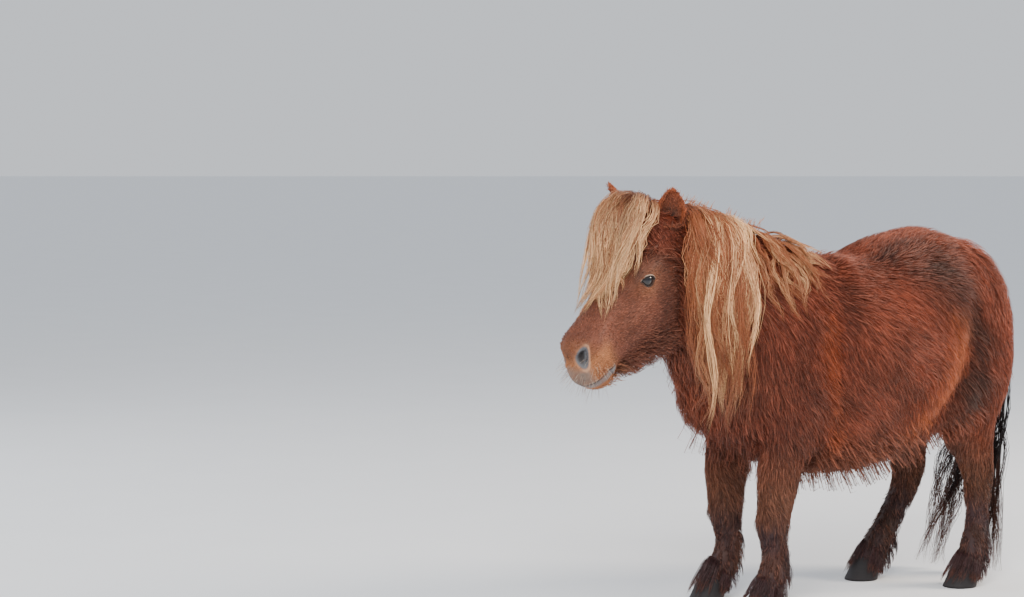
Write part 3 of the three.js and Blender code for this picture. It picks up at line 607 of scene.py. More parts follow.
# How far the skin lies inside the solids, in millimetres, on the trunk, the legs and the head, and what is
# added under the belly, on the chest, on the rump and behind the rims of barrel and shoulder.
TRUNK_DEPTH, LEG_DEPTH, HEAD_DEPTH = 13, 5, 2.5
BELLY_DEPTH, CHEST_DEPTH, RUMP_DEPTH = 12, 7, 8
BARREL_FOLD, SHOULDER_CREASE = 17, 8


def coat_depth(where):
    """How far the skin lies inside the solids, in metres. It sinks behind the rims of barrel and shoulder."""
    front = on_front(where)
    low = smoothstep(where.angle, -40, -70) * (1 - 0.8 * front)
    chest = front * smoothstep(where.angle, 20, -30)
    rump = smoothstep(where.share, TRUNK.at(1.6), TRUNK.at(0.6))
    depth = TRUNK_DEPTH + BELLY_DEPTH * low + CHEST_DEPTH * chest + RUMP_DEPTH * rump
    depth = depth * (1 - where.leg) + LEG_DEPTH * where.leg - 2 * where.lower_leg
    flank = smoothstep(where.height, 0.44, 0.52) * smoothstep(where.height, 0.84, 0.70)
    fold = bell(where.behind_barrel - 0.045, 0.05) - 0.4 * bell(where.behind_barrel + 0.05, 0.05)
    depth = depth + BARREL_FOLD * fold * flank * smoothstep(where.angle, 60, 30)
    crease = bell(where.behind_shoulder - 0.02, 0.025)
    depth = depth + SHOULDER_CREASE * crease * flank * smoothstep(where.angle, 50, 30)
    return (depth * (1 - where.head) + HEAD_DEPTH * where.head) * MM


# The skin. The eye's radius, its place on the head, the half length and half height of the lids' opening,
# the thickness of the lids, how far the skin sinks behind the ball and how far round it the lids reach.
EYE_RADIUS = 24.0
EYE = (178.0, 66.0, -30.0)
EYE_OPENING = (22.0, 13.0)
LID = 4.0
LID_SUNK = 5.0
LID_REACH = 46.0


def eye_axes(side):
    """The eye's centre, and its axes out of the head, along the lids and across them."""
    out = unit(head_turn(0.3, side, 0.16))
    wide = head_turn(0.83, -0.16 * side, 0.53)
    wide = unit(wide - out * (wide @ out))
    return on_head(EYE[0], EYE[1] * side, EYE[2]), out, wide, np.cross(out, wide) * side


def almond(x, y):
    """How far a place is outside the opening of the lids, as a share of its half height."""
    bend = np.clip(1 - np.abs(x / EYE_OPENING[0]) ** 2.2, 0, 1) ** 0.75
    height = np.where(y > 0, 1.0, 0.86) * EYE_OPENING[1] * bend
    return np.where(np.abs(x) < EYE_OPENING[0], np.abs(y) - height, np.hypot(np.abs(x) - EYE_OPENING[0], y))


def shape_lids(points):
    """Draws the skin round each eyeball and sinks it inside the opening."""
    for side in (LEFT, RIGHT):
        centre, out, wide, tall = eye_axes(side)
        away = (points - centre) / MM
        x, y, z = away @ wide, away @ tall, away @ out
        size = np.linalg.norm(away, axis=1)
        near = (size < 52) & (z > 0)
        outside = almond(x, y)
        fold = 1.3 * bell(outside - 7, 2.2) * smoothstep(y, -2, 8)
        lid = EYE_RADIUS + LID - fold + 1.2 * bell(outside - 2.5, 2.0)
        target = np.where(outside > 0, np.maximum(size, lid), np.minimum(size, EYE_RADIUS - LID_SUNK))
        moved = centre + unit(away) * target[:, None] * MM
        points = np.where(near[:, None], moved, points)
    return points


def lid_places(points, side):
    """How far places are outside the lids and above the eye, in millimetres, and whether they are near it."""
    centre, out, wide, tall = eye_axes(side)
    away = (points - centre) / MM
    close = (np.linalg.norm(away, axis=1) < LID_REACH) & (away @ out > 0)
    return almond(away @ wide, away @ tall), away @ tall, close


# How far along the face the mouth's corners are.
MOUTH_CORNER = 376
# Each nostril's centre along, left and out of the face, and its half length and half width.
NOSTRILS = {LEFT: ((444, 26, -32), (27, 13.5)), RIGHT: ((436, -41, -36), (21, 6.5))}


def nostril_places(points, side):
    """Offsets from a nostril in its own plane: along its length, across it and out of it."""
    away = head_offsets(points) - NOSTRILS[side][0]
    facing = unit(np.array([0.6, 0.74 * side, 0.3]))
    long = np.array([0.5, -0.2 * side, -0.84])
    long = unit(long - facing * (long @ facing))
    across = np.cross(facing, long) * side
    return away @ long, away @ across, away @ facing


def nostril_oval(points, side):
    """1 on the nostril's rim, less inside it and more outside, and whether the point is near it."""
    long, across, out = nostril_places(points, side)
    half_length, half_width = NOSTRILS[side][1]
    curl = across - 0.006 * long**2 + 1.5
    slant = half_width * (1 + 0.15 * np.clip(long / half_length, -1, 1))
    return np.hypot(long / half_length, curl / slant), np.hypot(np.hypot(long, across), out) < 46


def mouth_height(points):
    """How far a point of the muzzle is above the line of the mouth, in millimetres."""
    along, _, out = head_offsets(points).T
    return out - (-108 - 11 * smoothstep(along, 440, 378)), along


def bare_lip(points):
    """The hairless grey skin from the nostrils to the upper lip, as a weight."""
    along, left, out = head_offsets(points).T
    low = smoothstep(out, -46, -72) * smoothstep(out, -124, -104)
    return low * smoothstep(along + 0.2 * out, 408, 426) * smoothstep(np.abs(left), 44, 28)


# The muzzle's forms, in millimetres: how deep nostrils and mouth go, and how far their rims and the
# lips rise.
NOSTRIL_DEPTH = 17
NOSTRIL_RIM_RISE = 2.4
MOUTH_DEPTH = 4.0
UPPER_LIP_RISE = 1.4
LOWER_LIP_RISE = 2.2
LIP_CREASES = 0.35


def shape_muzzle(points, normals):
    """Sinks nostrils and the line of the mouth, and raises their rims and the lips."""
    push = np.zeros(len(points))
    for side in (LEFT, RIGHT):
        oval, near = nostril_oval(points, side)
        push -= NOSTRIL_DEPTH * near * smoothstep(oval, 1.02, 0.45)
        push += NOSTRIL_RIM_RISE * near * bell(oval - 1.3, 0.28)
    height, along = mouth_height(points)
    mouth = smoothstep(along, 374, 390)
    push -= MOUTH_DEPTH * mouth * bell(height, 2.0)
    push += UPPER_LIP_RISE * mouth * bell(height - 7, 5.0)
    push += LOWER_LIP_RISE * mouth * bell(height + 8, 6.0)
    creases = np.sin((along + 0.6 * height) / 3.4) * np.exp(-(((along - 384) / 10) ** 2 + (height / 12) ** 2))
    push += LIP_CREASES * creases
    return points + normals * push[:, None] * MM


# The grids that the skin's and the ears' meshes are made anew on, and the nodes that the skin is made from.
SKIN_VOXELS = (8 * MM, 8.1 * MM)
EAR_VOXEL = 2.0 * MM
FLESH = ["torso", "neck", "head"] + [f"leg_{leg}_{part}" for leg in LEGS for part in ("upper", "lower")]


def apply_modifier(obj, kind, **settings):
    modifier = obj.modifiers.new(kind.lower(), kind)
    for key, value in settings.items():
        setattr(modifier, key, value)
    bpy.context.view_layer.objects.active = obj
    with bpy.context.temp_override(object=obj, active_object=obj, selected_objects=[obj]):
        bpy.ops.object.modifier_apply(modifier=modifier.name)


def settle(obj, rounds):
    """Moves each vertex onto the flesh's form, inside it by the coat's depth."""
    for _ in range(rounds):
        points = read_mesh(obj.data)
        depth = coat_depth(places(points))
        off = in_chunks(flesh_field, points) + depth
        far = np.abs(off) > 8 * MM
        heading = read_normals(obj.data)
        heading[far] = slope(flesh_field, points[far])
        write_mesh(obj.data, points - heading * off[:, None])


def subdivide_near(obj, chosen):
    """Splits the faces whose middles are chosen once."""
    bm = bmesh.new()
    bm.from_mesh(obj.data)
    middles = np.array([face.calc_center_median() for face in bm.faces])
    picked = chosen(middles)
    edges = {edge for face, pick in zip(bm.faces, picked) if pick for edge in face.edges}
    bmesh.ops.subdivide_edges(bm, edges=list(edges), cuts=1, use_grid_fill=True)
    bm.to_mesh(obj.data)
    bm.free()
    obj.data.update()


def near_eyes(middles):
    near = np.zeros(len(middles), bool)
    for side in (LEFT, RIGHT):
        near |= np.linalg.norm(middles - eye_axes(side)[0], axis=1) < 42 * MM
    return near


def near_features(middles):
    """Eyes, nostrils and lips."""
    height, along = mouth_height(middles)
    return near_eyes(middles) | ((along > MOUTH_CORNER) & (height > -40))


def make_skin(nodes):
    """One skin for torso, neck, head and legs, from copies of their nodes."""
    copies = [loose_copy(nodes[name], f"skin_{name}") for name in FLESH]
    skin = copies[0]
    with bpy.context.temp_override(active_object=skin, selected_editable_objects=copies):
        bpy.ops.object.join()
    skin.name = "skin"
    for voxel in SKIN_VOXELS:
        apply_modifier(skin, "REMESH", mode="VOXEL", voxel_size=voxel)
        settle(skin, 2)
    apply_modifier(skin, "SMOOTH", factor=0.5, iterations=3)
    settle(skin, 1)
    subdivide_near(skin, lambda middles: places(middles).head > 0.3)
    settle(skin, 1)
    subdivide_near(skin, near_features)
    subdivide_near(skin, near_eyes)
    settle(skin, 1)
    points = shape_muzzle(read_mesh(skin.data), read_normals(skin.data))
    write_mesh(skin.data, shape_lids(points))
    return skin


def loose_copy(node, name):
    """A copy of a node's mesh that stands apart from the frame."""
    copy = node.copy()
    copy.data = copy.data.copy()
    bpy.context.scene.collection.objects.link(copy)
    copy.parent = None
    copy.name = name
    for key in list(copy.keys()):
        del copy[key]
    return copy


# Each ear's base and tip on the head, and the side that it belongs to.
EARS = {
    "left": (LEFT, on_head(10, 54, -30), on_head(-50, 82, 66)),
    "right": (RIGHT, on_head(10, -60, -30), on_head(-48, -106, 84)),
}


def ear_axes(side_name):
    """The ear's base and length, and its directions to the tip and out of its cup."""
    side, base, tip = EARS[side_name]
    axis = tip - base
    length = np.linalg.norm(axis)
    axis = axis / length
    facing = head_turn(0.6, 0.75 * side, 0.3)
    return base, length, axis, unit(facing - axis * (facing @ axis))


def ear_colour_and_shade(points, normals, side_name):
    """Orange outside and on the rims, with painted shade in the cup: browner there and near black in its
    depth.
    """
    base, length, axis, facing = ear_axes(side_name)
    inward = smoothstep(normals @ facing, 0.15, 0.6)
    height = (points - base) @ axis / length
    middle = np.linalg.norm(points - base - ((points - base) @ axis)[:, None] * axis, axis=1) / (36 * MM)
    colour = mix(EAR_ORANGE, CHEEK_BROWN, smoothstep(height, 0.4, 0.1))
    # Painted shade in the cup, and deeper painted shade in its depth.
    cup = inward * smoothstep(height, 1.0, 0.7) * smoothstep(middle, 1.3, 0.5)
    colour = mix(colour, FACE_BROWN, 0.85 * cup)
    deep = inward * smoothstep(height, 0.62, 0.3) * smoothstep(middle, 1.1, 0.2)
    return mix(colour, SKIN_DARK_AND_SHADE, 0.85 * deep)


def make_ear(nodes, side_name, material):
    """An ear's shell, smoothed."""
    ear = loose_copy(nodes[f"ear_{side_name}"], f"ear_skin_{side_name}")
    apply_modifier(ear, "WELD", merge_threshold=0.1 * MM)
    apply_modifier(ear, "REMESH", mode="VOXEL", voxel_size=EAR_VOXEL)
    apply_modifier(ear, "SMOOTH", factor=0.5, iterations=5)
    set_attribute(ear, "tone", ear_colour_and_shade(read_mesh(ear.data), read_normals(ear.data), side_name))
    dress(ear, material, "ear_coat", f"ear_{side_name}")
    return ear


def grow_ear_coat(ear, side_name, material):
    """Short hair that runs to the tip, with a longer fringe along the rims of the cup."""
    rng = np.random.default_rng(400 + EARS[side_name][0])
    base, length, axis, facing = ear_axes(side_name)
    count = EAR_TUFTS
    roots, normals = sample_surface(ear.data, count, lambda middles: np.ones(len(middles)), rng)
    height = (roots - base) @ axis / length
    rim = 1 - np.abs(normals @ facing)
    inside = smoothstep(normals @ facing, 0.1, 0.6)
    lie = axis + 0.25 * rng.normal(size=(count, 3)) + 0.5 * facing * (rim * (1 - inside))[:, None]
    lie = unit(lie - normals * (lie * normals).sum(1, keepdims=True))
    reach = 7 + 8 * rim + 12 * rim * smoothstep(height, 0.7, 0.2) + 6 * inside
    reach = reach * rng.uniform(0.6, 1.3, count) * MM
    reach = np.minimum(reach, np.maximum(1.03 - height, 0.03) * length)
    tips = roots + lie * reach[:, None] + normals * (1.2 * MM * rng.uniform(0.4, 1.6, count))[:, None]
    share = np.linspace(0, 1, 3)
    knots = straight(roots, tips, share)
    knots[:, 1] += normals * 0.8 * MM
    knots[:, 0] -= normals * 0.8 * MM
    widths = rng.uniform(1.4, 2.5, (count, 1)) * MM * np.array([[0.8, 0.8, 0.0]])
    base_tone = ear_colour_and_shade(roots, normals, side_name) * rng.uniform(0.6, 1.4, (count, 1))
    tones = base_tone[:, None] * (0.75 + 0.5 * share)[None, :, None]
    around = unit(roots - base - ((roots - base) @ axis)[:, None] * axis)
    turn = np.arctan2(around @ np.cross(axis, facing), around @ facing)
    unwrap = np.stack([0.01 + 0.98 * np.clip(height, 0, 1), 0.5 + 0.49 * turn / math.pi], axis=1)
    hair = sweep_blades(f"coat_ear_{side_name}", knots, normals, widths, tones, unwrap)
    dress(hair, material, "ear_coat")


# Tufts and strands of hair, as tapered blades with three sides.
def above_floor(knots):
    """The hair's knots, with those that would come down to the floor bent along it."""
    knots = knots.copy()
    height = knots[..., 2]
    bent = FLOOR_CLEAR + FLOOR_BEND * np.exp(np.minimum(height - FLOOR_CLEAR - FLOOR_BEND, 0) / FLOOR_BEND)
    knots[..., 2] = np.where(height < FLOOR_CLEAR + FLOOR_BEND, bent, height)
    return knots


def sweep_blades(name, knots, normals, widths, tones, patches, thick=0.4):
    """Each row of knots becomes a blade that tapers to a tip.

    knots and tones are (n, k, 3), widths is (n, k), and patches are the roots' places on the unwrap, (n, 2).
    normals are (n, k, 3), or (n, 3) where a blade keeps the normal of its root.
    """
    n, k, _ = knots.shape
    knots = above_floor(knots)
    if normals.ndim == 2:
        normals = np.repeat(normals[:, None], k, 1)
    along = unit(np.gradient(knots, axis=1))
    across = unit(np.cross(along, normals))
    rise = np.cross(across, along)
    half = widths[..., None] / 2
    corners = [knots - across * half, knots + across * half, knots + rise * half * 2 * thick]
    rings = np.stack([c[:, :-1] for c in corners], axis=2).reshape(n, (k - 1) * 3, 3)
    points = np.concatenate([rings, knots[:, -1:]], axis=1).reshape(-1, 3)
    each = (k - 1) * 3 + 1
    faces = []
    for ring in range(k - 2):
        for side in range(3):
            a, b = ring * 3 + side, ring * 3 + (side + 1) % 3
            faces += [(a, b, b + 3), (a, b + 3, a + 3)]
    tip = each - 1
    faces += [((k - 2) * 3 + side, (k - 2) * 3 + (side + 1) % 3, tip) for side in range(3)]
    faces.append((2, 1, 0))
    faces = (np.array(faces)[None] + (np.arange(n) * each)[:, None, None]).reshape(-1, 3)
    obj = new_object(name, points, faces)
    tone = np.concatenate([np.repeat(tones[:, :-1], 3, axis=1), tones[:, -1:]], axis=1).reshape(-1, 3)
    set_attribute(obj, "tone", tone)
    share = np.linspace(0, 1, k)
    share = np.concatenate([np.repeat(share[:-1], 3), share[-1:]])
    set_attribute(obj, "along", np.tile(share, n))
    spot = np.tile(np.array([-1.0, 1.0, 0.0]), k - 1)
    local = np.stack([np.append(spot, 0.0), share * 2 - 1], axis=1) * 0.0015
    unwrap = (patches[:, None] + local[None]).reshape(-1, 2)
    layer = obj.data.uv_layers.new(name="OFBake")
    layer.data.foreach_set("uv", unwrap[faces.ravel()].astype(np.float32).ravel())
    return obj


def tube_unwrap(tube, low=0.0, high=1.0):
    """Lays a tube's form flat: along its spine, from share low to high, and round it."""

    def unwrap(points):
        share, x, y, _, _ = tube.nearest(points)
        across = 0.5 + np.arctan2(x, y) / (2 * math.pi)
        return 0.01 + 0.98 * np.stack([np.clip((share - low) / (high - low), 0, 1), across], axis=1)

    return unwrap


def straight(roots, tips, share):
    """Knots on the lines from roots to tips, as (n, k, 3)."""
    return roots[:, None] + (tips - roots)[:, None] * share[None, :, None]


def sample_surface(mesh, count, weight_of, rng):
    """Random places on a mesh's triangles, as dense as weight_of(middles) asks, and their normals."""
    mesh.calc_loop_triangles()
    triangles = np.empty(len(mesh.loop_triangles) * 3, np.int32)
    mesh.loop_triangles.foreach_get("vertices", triangles)
    triangles = triangles.reshape(-1, 3)
    points, normals = read_mesh(mesh), read_normals(mesh)
    a, b, c = (points[triangles[:, i]] for i in range(3))
    area = np.linalg.norm(np.cross(b - a, c - a), axis=1)
    weight = area * weight_of((a + b + c) / 3)
    picked = rng.choice(len(triangles), count, p=weight / weight.sum())
    u, v = rng.random(count), rng.random(count)
    over = u + v > 1
    u[over], v[over] = 1 - u[over], 1 - v[over]
    w = np.stack([1 - u - v, u, v], axis=1)
    place_of = (w[..., None] * points[triangles[picked]]).sum(1)
    normal_of = unit((w[..., None] * normals[triangles[picked]]).sum(1))
    return place_of, normal_of


def lie_of(points, normals, where):
    """The way the coat lies, in the plane of the skin."""
    side = np.sign(points[:, 0])
    fall = np.stack([0.12 * side, 0.35 + 0 * side, -1.0 + 0 * side], axis=1)
    lie = mix(np.array([0.0, 1.0, 0.0]), fall, smoothstep(where.angle, 72, 20) * 0.75)
    rump = smoothstep(where.share, TRUNK.at(1.2), TRUNK.at(0.2))
    lie = mix(lie, np.array([0.0, 0.1, -1.0]), rump)
    front = smoothstep(where.share, TRUNK.at(5.0), TRUNK.at(6.6))
    lie = mix(lie, np.array([0.0, 0.25, -1.0]), 0.8 * front)
    lie = mix(lie, np.array([0.0, 0.12, -1.0]), where.leg)
    lie = mix(lie, -HEAD_ALONG + 0.5 * np.array([0, 0.0, -1.0]), where.head)
    swirl = 0.28 * waves(points, 0.13, 31) + 0.12 * waves(points, 0.04, 33)
    lie = lie + np.cross(normals, lie) * swirl[:, None] * (1 - 0.6 * where.head)[:, None]
    return unit(lie - normals * (lie * normals).sum(1, keepdims=True))


def grow_tufts(name, mesh, count, weight_of, shape_of, unwrap, seed, clumps=0, pull=0.0, steps=2):
    """Short tufts over a mesh. shape_of gives each tuft's length, width and rise in metres.

    The first of the tufts lead clumps, and the pull draws the tips of the others toward them.
    """
    rng = np.random.default_rng(seed)
    roots, normals = sample_surface(mesh, count, weight_of, rng)
    where = places(roots)
    lie = lie_of(roots, normals, where)
    lie = unit(lie + np.cross(normals, lie) * rng.normal(0, 0.14, count)[:, None])
    length, width, rise = shape_of(roots, normals, where, rng)
    tips = roots + lie * length[:, None] + normals * rise[:, None]
    if clumps:
        tree = KDTree(clumps)
        for i in range(clumps):
            tree.insert(roots[i], i)
        tree.balance()
        nearest = np.array([tree.find(p)[1] for p in roots])
        shift = (tips[nearest] - tips) * pull
        size = np.linalg.norm(shift, axis=1, keepdims=True)
        tips += shift * np.minimum(1, 0.5 * length[:, None] / np.maximum(size, 1e-9))
    share = np.linspace(0, 1, steps + 1)
    knots = straight(roots, tips, share)
    bow = np.sin(share * math.pi) * 0.55
    knots = knots + normals[:, None] * (bow[None] * rise[:, None])[..., None]
    knots[:, 0] -= normals * 1.5 * MM
    waver = np.cross(normals, lie)[:, None] * np.sin(share * 5)[None, :, None]
    knots += waver * (rng.normal(0, 0.04, count) * length)[:, None, None]
    taper = np.clip(1.15 - share**1.6, 0, 1) * np.minimum(1, 0.7 + share * 2)
    widths = width[:, None] * taper[None]
    vary = rng.uniform(0.5, 1.45, count)
    base = mix(coat_colour(roots, where), HAIR_PALE, 0.16 * smoothstep(vary, 0.9, 1.4)) * vary[:, None]
    shade = 0.6 + 0.6 * share
    tones = base[:, None] * shade[None, :, None]
    return sweep_blades(name, knots, normals, widths, tones, unwrap(roots))


# Materials.
def new_material(name, **inputs):
    """A material with one shader. The inputs are the shader's own, with _ for a space."""
    material = bpy.data.materials.new(name)
    material.use_nodes = True
    tree = material.node_tree
    tree.nodes.clear()
    shader = tree.nodes.new("ShaderNodeBsdfPrincipled")
    output = tree.nodes.new("ShaderNodeOutputMaterial")
    tree.links.new(shader.outputs[0], output.inputs[0])
    for key, value in inputs.items():
        shader.inputs[key.replace("_", " ")].default_value = value
    return material, tree, shader


def add_node(tree, kind, **settings):
    node = tree.nodes.new("ShaderNode" + kind)
    for key, value in settings.items():
        setattr(node, key, value)
    return node


def bump_from(tree, shader, height, strength, distance):
    bump = add_node(tree, "Bump")
    bump.inputs["Strength"].default_value = strength
    bump.inputs["Distance"].default_value = distance
    tree.links.new(height, bump.inputs["Height"])
    tree.links.new(bump.outputs[0], shader.inputs["Normal"])


def noise_of(tree, scale, detail=4.0, stretch=None):
    noise = add_node(tree, "TexNoise")
    noise.inputs["Scale"].default_value = scale
    noise.inputs["Detail"].default_value = detail
    coordinates = add_node(tree, "TexCoord")
    if stretch:
        mapping = add_node(tree, "Mapping")
        mapping.inputs["Scale"].default_value = stretch
        tree.links.new(coordinates.outputs["Object"], mapping.inputs[0])
        tree.links.new(mapping.outputs[0], noise.inputs[0])
    else:
        tree.links.new(coordinates.outputs["Object"], noise.inputs[0])
    return noise


def colour_by_tone(tree, shader, noise, low, high):
    """The shader's colour is the vertex colour times a grey that the noise moves between low and high."""
    tone = add_node(tree, "Attribute", attribute_name="tone")
    grey = add_node(tree, "MapRange")
    grey.inputs["To Min"].default_value = low
    grey.inputs["To Max"].default_value = high
    tree.links.new(noise.outputs[0], grey.inputs[0])
    blend = add_node(tree, "VectorMath", operation="SCALE")
    tree.links.new(tone.outputs["Color"], blend.inputs[0])
    tree.links.new(grey.outputs[0], blend.inputs["Scale"])
    tree.links.new(blend.outputs[0], shader.inputs["Base Color"])


def colour_by_noise(tree, shader, noise, dark, pale):
    """The shader's colour runs from dark to pale with the noise."""
    ramp = add_node(tree, "ValToRGB")
    ramp.color_ramp.elements[0].color = (*dark, 1)
    ramp.color_ramp.elements[1].color = (*pale, 1)
    tree.links.new(noise.outputs[0], ramp.inputs[0])
    tree.links.new(ramp.outputs[0], shader.inputs["Base Color"])


def hair_material(name, roughness, sheen, scale=60.0):
    material, tree, shader = new_material(
        name, Roughness=roughness, Specular_IOR_Level=0.25, Sheen_Weight=sheen, Sheen_Roughness=0.5,
        Sheen_Tint=(*SHEEN_TINT, 1),
    )
    colour_by_tone(tree, shader, noise_of(tree, scale), 0.75, 1.25)
    return material


def skin_material():
    material, tree, shader = new_material("skin_coat", Roughness=0.62, Specular_IOR_Level=0.3)
    colour_by_tone(tree, shader, noise_of(tree, 160.0, 5.0), 0.6, 1.2)
    fine = noise_of(tree, 700.0, 2.0)
    bump_from(tree, shader, fine.outputs[0], 0.35, 1 * MM)
    return material


# The skin's colour and the short coat.
def colour_skin(skin):
    """The coat's markings and painted light, darker, with the bare skin of lips, nostrils and lids, and
    painted shade in the nostrils and along the line of the mouth.
    """
    points = read_mesh(skin.data)
    colour = coat_colour(points, places(points)) * 0.7
    height, along = mouth_height(points)
    front = smoothstep(along, MOUTH_CORNER, MOUTH_CORNER + 14)
    mottle = 0.92 + 0.12 * waves(points, 0.02, 71)
    colour = mix(colour, LIP_PALE, 0.35 * mottle * front * bell(height - 5.0, 2.6))
    grey = front * smoothstep(height, 0, -3) * smoothstep(height, -25, -17)
    colour = mix(colour, LIP_GREY, 0.9 * mottle * grey)
    colour = mix(colour, LIP_WARM, 0.75 * mottle * bare_lip(points))
    # Painted shade: a dark line in the crease of the mouth.
    colour = mix(colour, SKIN_DARK_AND_SHADE, bell(height, 1.7) * smoothstep(along, 378, 388))
    for side in (LEFT, RIGHT):
        oval, near = nostril_oval(points, side)
        _, across, _ = nostril_places(points, side)
        rim = near * bell(oval - 1.2, 0.13) * (0.3 + 0.6 * smoothstep(across, -4, 8))
        colour = mix(colour, NOSTRIL_RIM, rim * mottle)
        # Painted shade inside the nostril: grey within the rim and near black deeper in.
        colour = mix(colour, NOSTRIL_SHADE_GREY, near * smoothstep(oval, 1.16, 0.95))
        colour = mix(colour, SKIN_DARK_AND_SHADE, 0.8 * near * smoothstep(oval, 0.85, 0.45))
        outside, above, close = lid_places(points, side)
        colour = mix(colour, SKIN_DARK_AND_SHADE, close * smoothstep(outside, 4.5, 1.5))
        lower = close * bell(outside - 3.4, 1.0) * smoothstep(above, 0, -6)
        colour = mix(colour, LIP_PALE, 0.5 * lower)
    set_attribute(skin, "tone", colour)


# Lengths of the short coat's hair, in millimetres.
BODY_HAIR = 60
FACE_HAIR = 15
SHORTEST_HAIR = 4.0
BEARD_HAIR = 34
LEG_HAIR = 20


def shape_body_coat(points, normals, where, rng):
    """Longest on the chest, shorter under the belly and on the upper legs, and short round the ears."""
    n = len(points)
    under = smoothstep(normals[:, 2], -0.25, -0.8) * (1 - where.leg)
    chest = on_front(where) * smoothstep(where.angle, 10, -40)
    length = BODY_HAIR - 18 * under + 6 * chest
    length = length - 22 * where.leg * smoothstep(where.height, 0.46, 0.36) - 12 * where.head
    ears = np.min([np.linalg.norm(points - base, axis=1) for _, base, _ in EARS.values()], axis=0)
    length = length * smoothstep(ears, 0.02, 0.11).clip(0.22)
    back = smoothstep(where.angle, 45, 75)
    stray = 1 + 2.2 * (rng.random(n) < 0.1) * under
    rise = (6 + 9 * under + 4 * chest + 3 * back) * (1 - 0.5 * where.leg) * stray
    length = length * rng.uniform(0.6, 1.25, n) * MM
    return length, rng.uniform(1.4, 2.95, n) * MM, rise * rng.uniform(0.3, 1.7, n) * MM


def shape_face_coat(points, normals, where, rng):
    """Short and flat on the face, with a bristly beard that hangs from the jaw."""
    n = len(points)
    along, _, out = where.face.T
    jaw = smoothstep(normals[:, 2], -0.2, -0.65) * smoothstep(along, 425, 390) * smoothstep(out, -110, -140)
    eye = np.exp(-(((along - 178) / 40) ** 2 + ((out + 34) / 40) ** 2))
    length = FACE_HAIR - 9 * smoothstep(along, 250, 400) - 8 * eye
    length = np.maximum(length, SHORTEST_HAIR) + BEARD_HAIR * jaw
    rise = 1.5 + 19 * jaw
    width = 1.1 + 0.6 * jaw + rng.uniform(0, 0.8, n)
    return length * rng.uniform(0.6, 1.3, n) * MM, width * MM, rise * rng.uniform(0.4, 1.6, n) * MM


def shape_leg_coat(points, normals, where, rng):
    """Short and wet, a little longer behind the cannon and over the hoof."""
    n = len(points)
    behind = smoothstep(normals[:, 1], 0.1, 0.7) * where.lower_leg
    length = (LEG_HAIR + 14 * behind) * rng.uniform(0.6, 1.25, n)
    return length * MM, rng.uniform(1.5, 2.8, n) * MM, (1.8 + 4 * behind) * rng.uniform(0.4, 1.6, n) * MM


# Tufts of each piece of the coat. The trunk's pieces also have their first and last station.
EAR_TUFTS = 2300
FACE_TUFTS = 13000
LEG_TUFTS = 3300
WHISKERS = 180
BODY_PIECES = [
    ("coat_rump", 0.0, 1.3, 14000),
    ("coat_haunch", 1.3, 2.5, 14700),
    ("coat_flank", 2.5, 3.6, 14700),
    ("coat_barrel", 3.6, 4.8, 14700),
    ("coat_shoulder", 4.8, 6.2, 14700),
    ("coat_neck", 6.2, 10.0, 11200),
]


def grow_body_coat(skin, material):
    """The coat of trunk, neck and thighs, in pieces along the spine. Nearby tufts lean together in clumps."""
    for i, (name, first, last, count) in enumerate(BODY_PIECES):
        low, high = TRUNK.at(first), TRUNK.at(last)

        def weight_of(middles, low=low, high=high):
            where = places(middles)
            inside = (where.share >= low - 1e-6) & ((where.share < high) | (high >= 1))
            denser = np.where(where.leg > 0.5, 1.3, 1.0)
            return inside * (1 - where.head) * (1 - where.lower_leg) * denser

        tufts = grow_tufts(
            name, skin.data, count, weight_of, shape_body_coat, tube_unwrap(TRUNK, low, high), seed=100 + i,
            clumps=count // 14, pull=0.22,
        )
        dress(tufts, material, "body_coat")


def face_weight(middles):
    """Where the face carries hair: not on eyelids, nostrils and lips."""
    bare = np.zeros(len(middles), bool)
    for side in (LEFT, RIGHT):
        outside, _, near = lid_places(middles, side)
        bare |= (outside < 5) & near
        oval, close = nostril_oval(middles, side)
        bare |= close & (oval < 1.3)
    height, along = mouth_height(middles)
    bare |= (along > MOUTH_CORNER) & (height < 6) & (height > -23)
    bare |= bare_lip(middles) > 0.25
    return places(middles).head * ~bare


def grow_face_coat(skin, material):
    unwrap = tube_unwrap(HEAD)
    tufts = grow_tufts("coat_face", skin.data, FACE_TUFTS, face_weight, shape_face_coat, unwrap, seed=200)
    dress(tufts, material, "face_coat")


def grow_leg_coat(skin, material):
    """The short, wet coat of each leg."""
    for i, (name, leg) in enumerate(LEGS.items()):

        def weight_of(middles, leg=leg):
            own = leg.distance(middles) < 15 * MM
            return own * smoothstep(places(middles).leg, 0.3, 0.8)

        tufts = grow_tufts(
            f"coat_leg_{name}", skin.data, LEG_TUFTS, weight_of, shape_leg_coat, tube_unwrap(leg),
            seed=300 + i, clumps=400, pull=0.35,
        )
        dress(tufts, material, "lower_leg_coat")


# Long hair: guides are traced over the flesh, and strands follow a guide in a tapering lock.
def always(fall):
    """The same fall at every place and share of the way."""
    return lambda points, share: unit(fall)


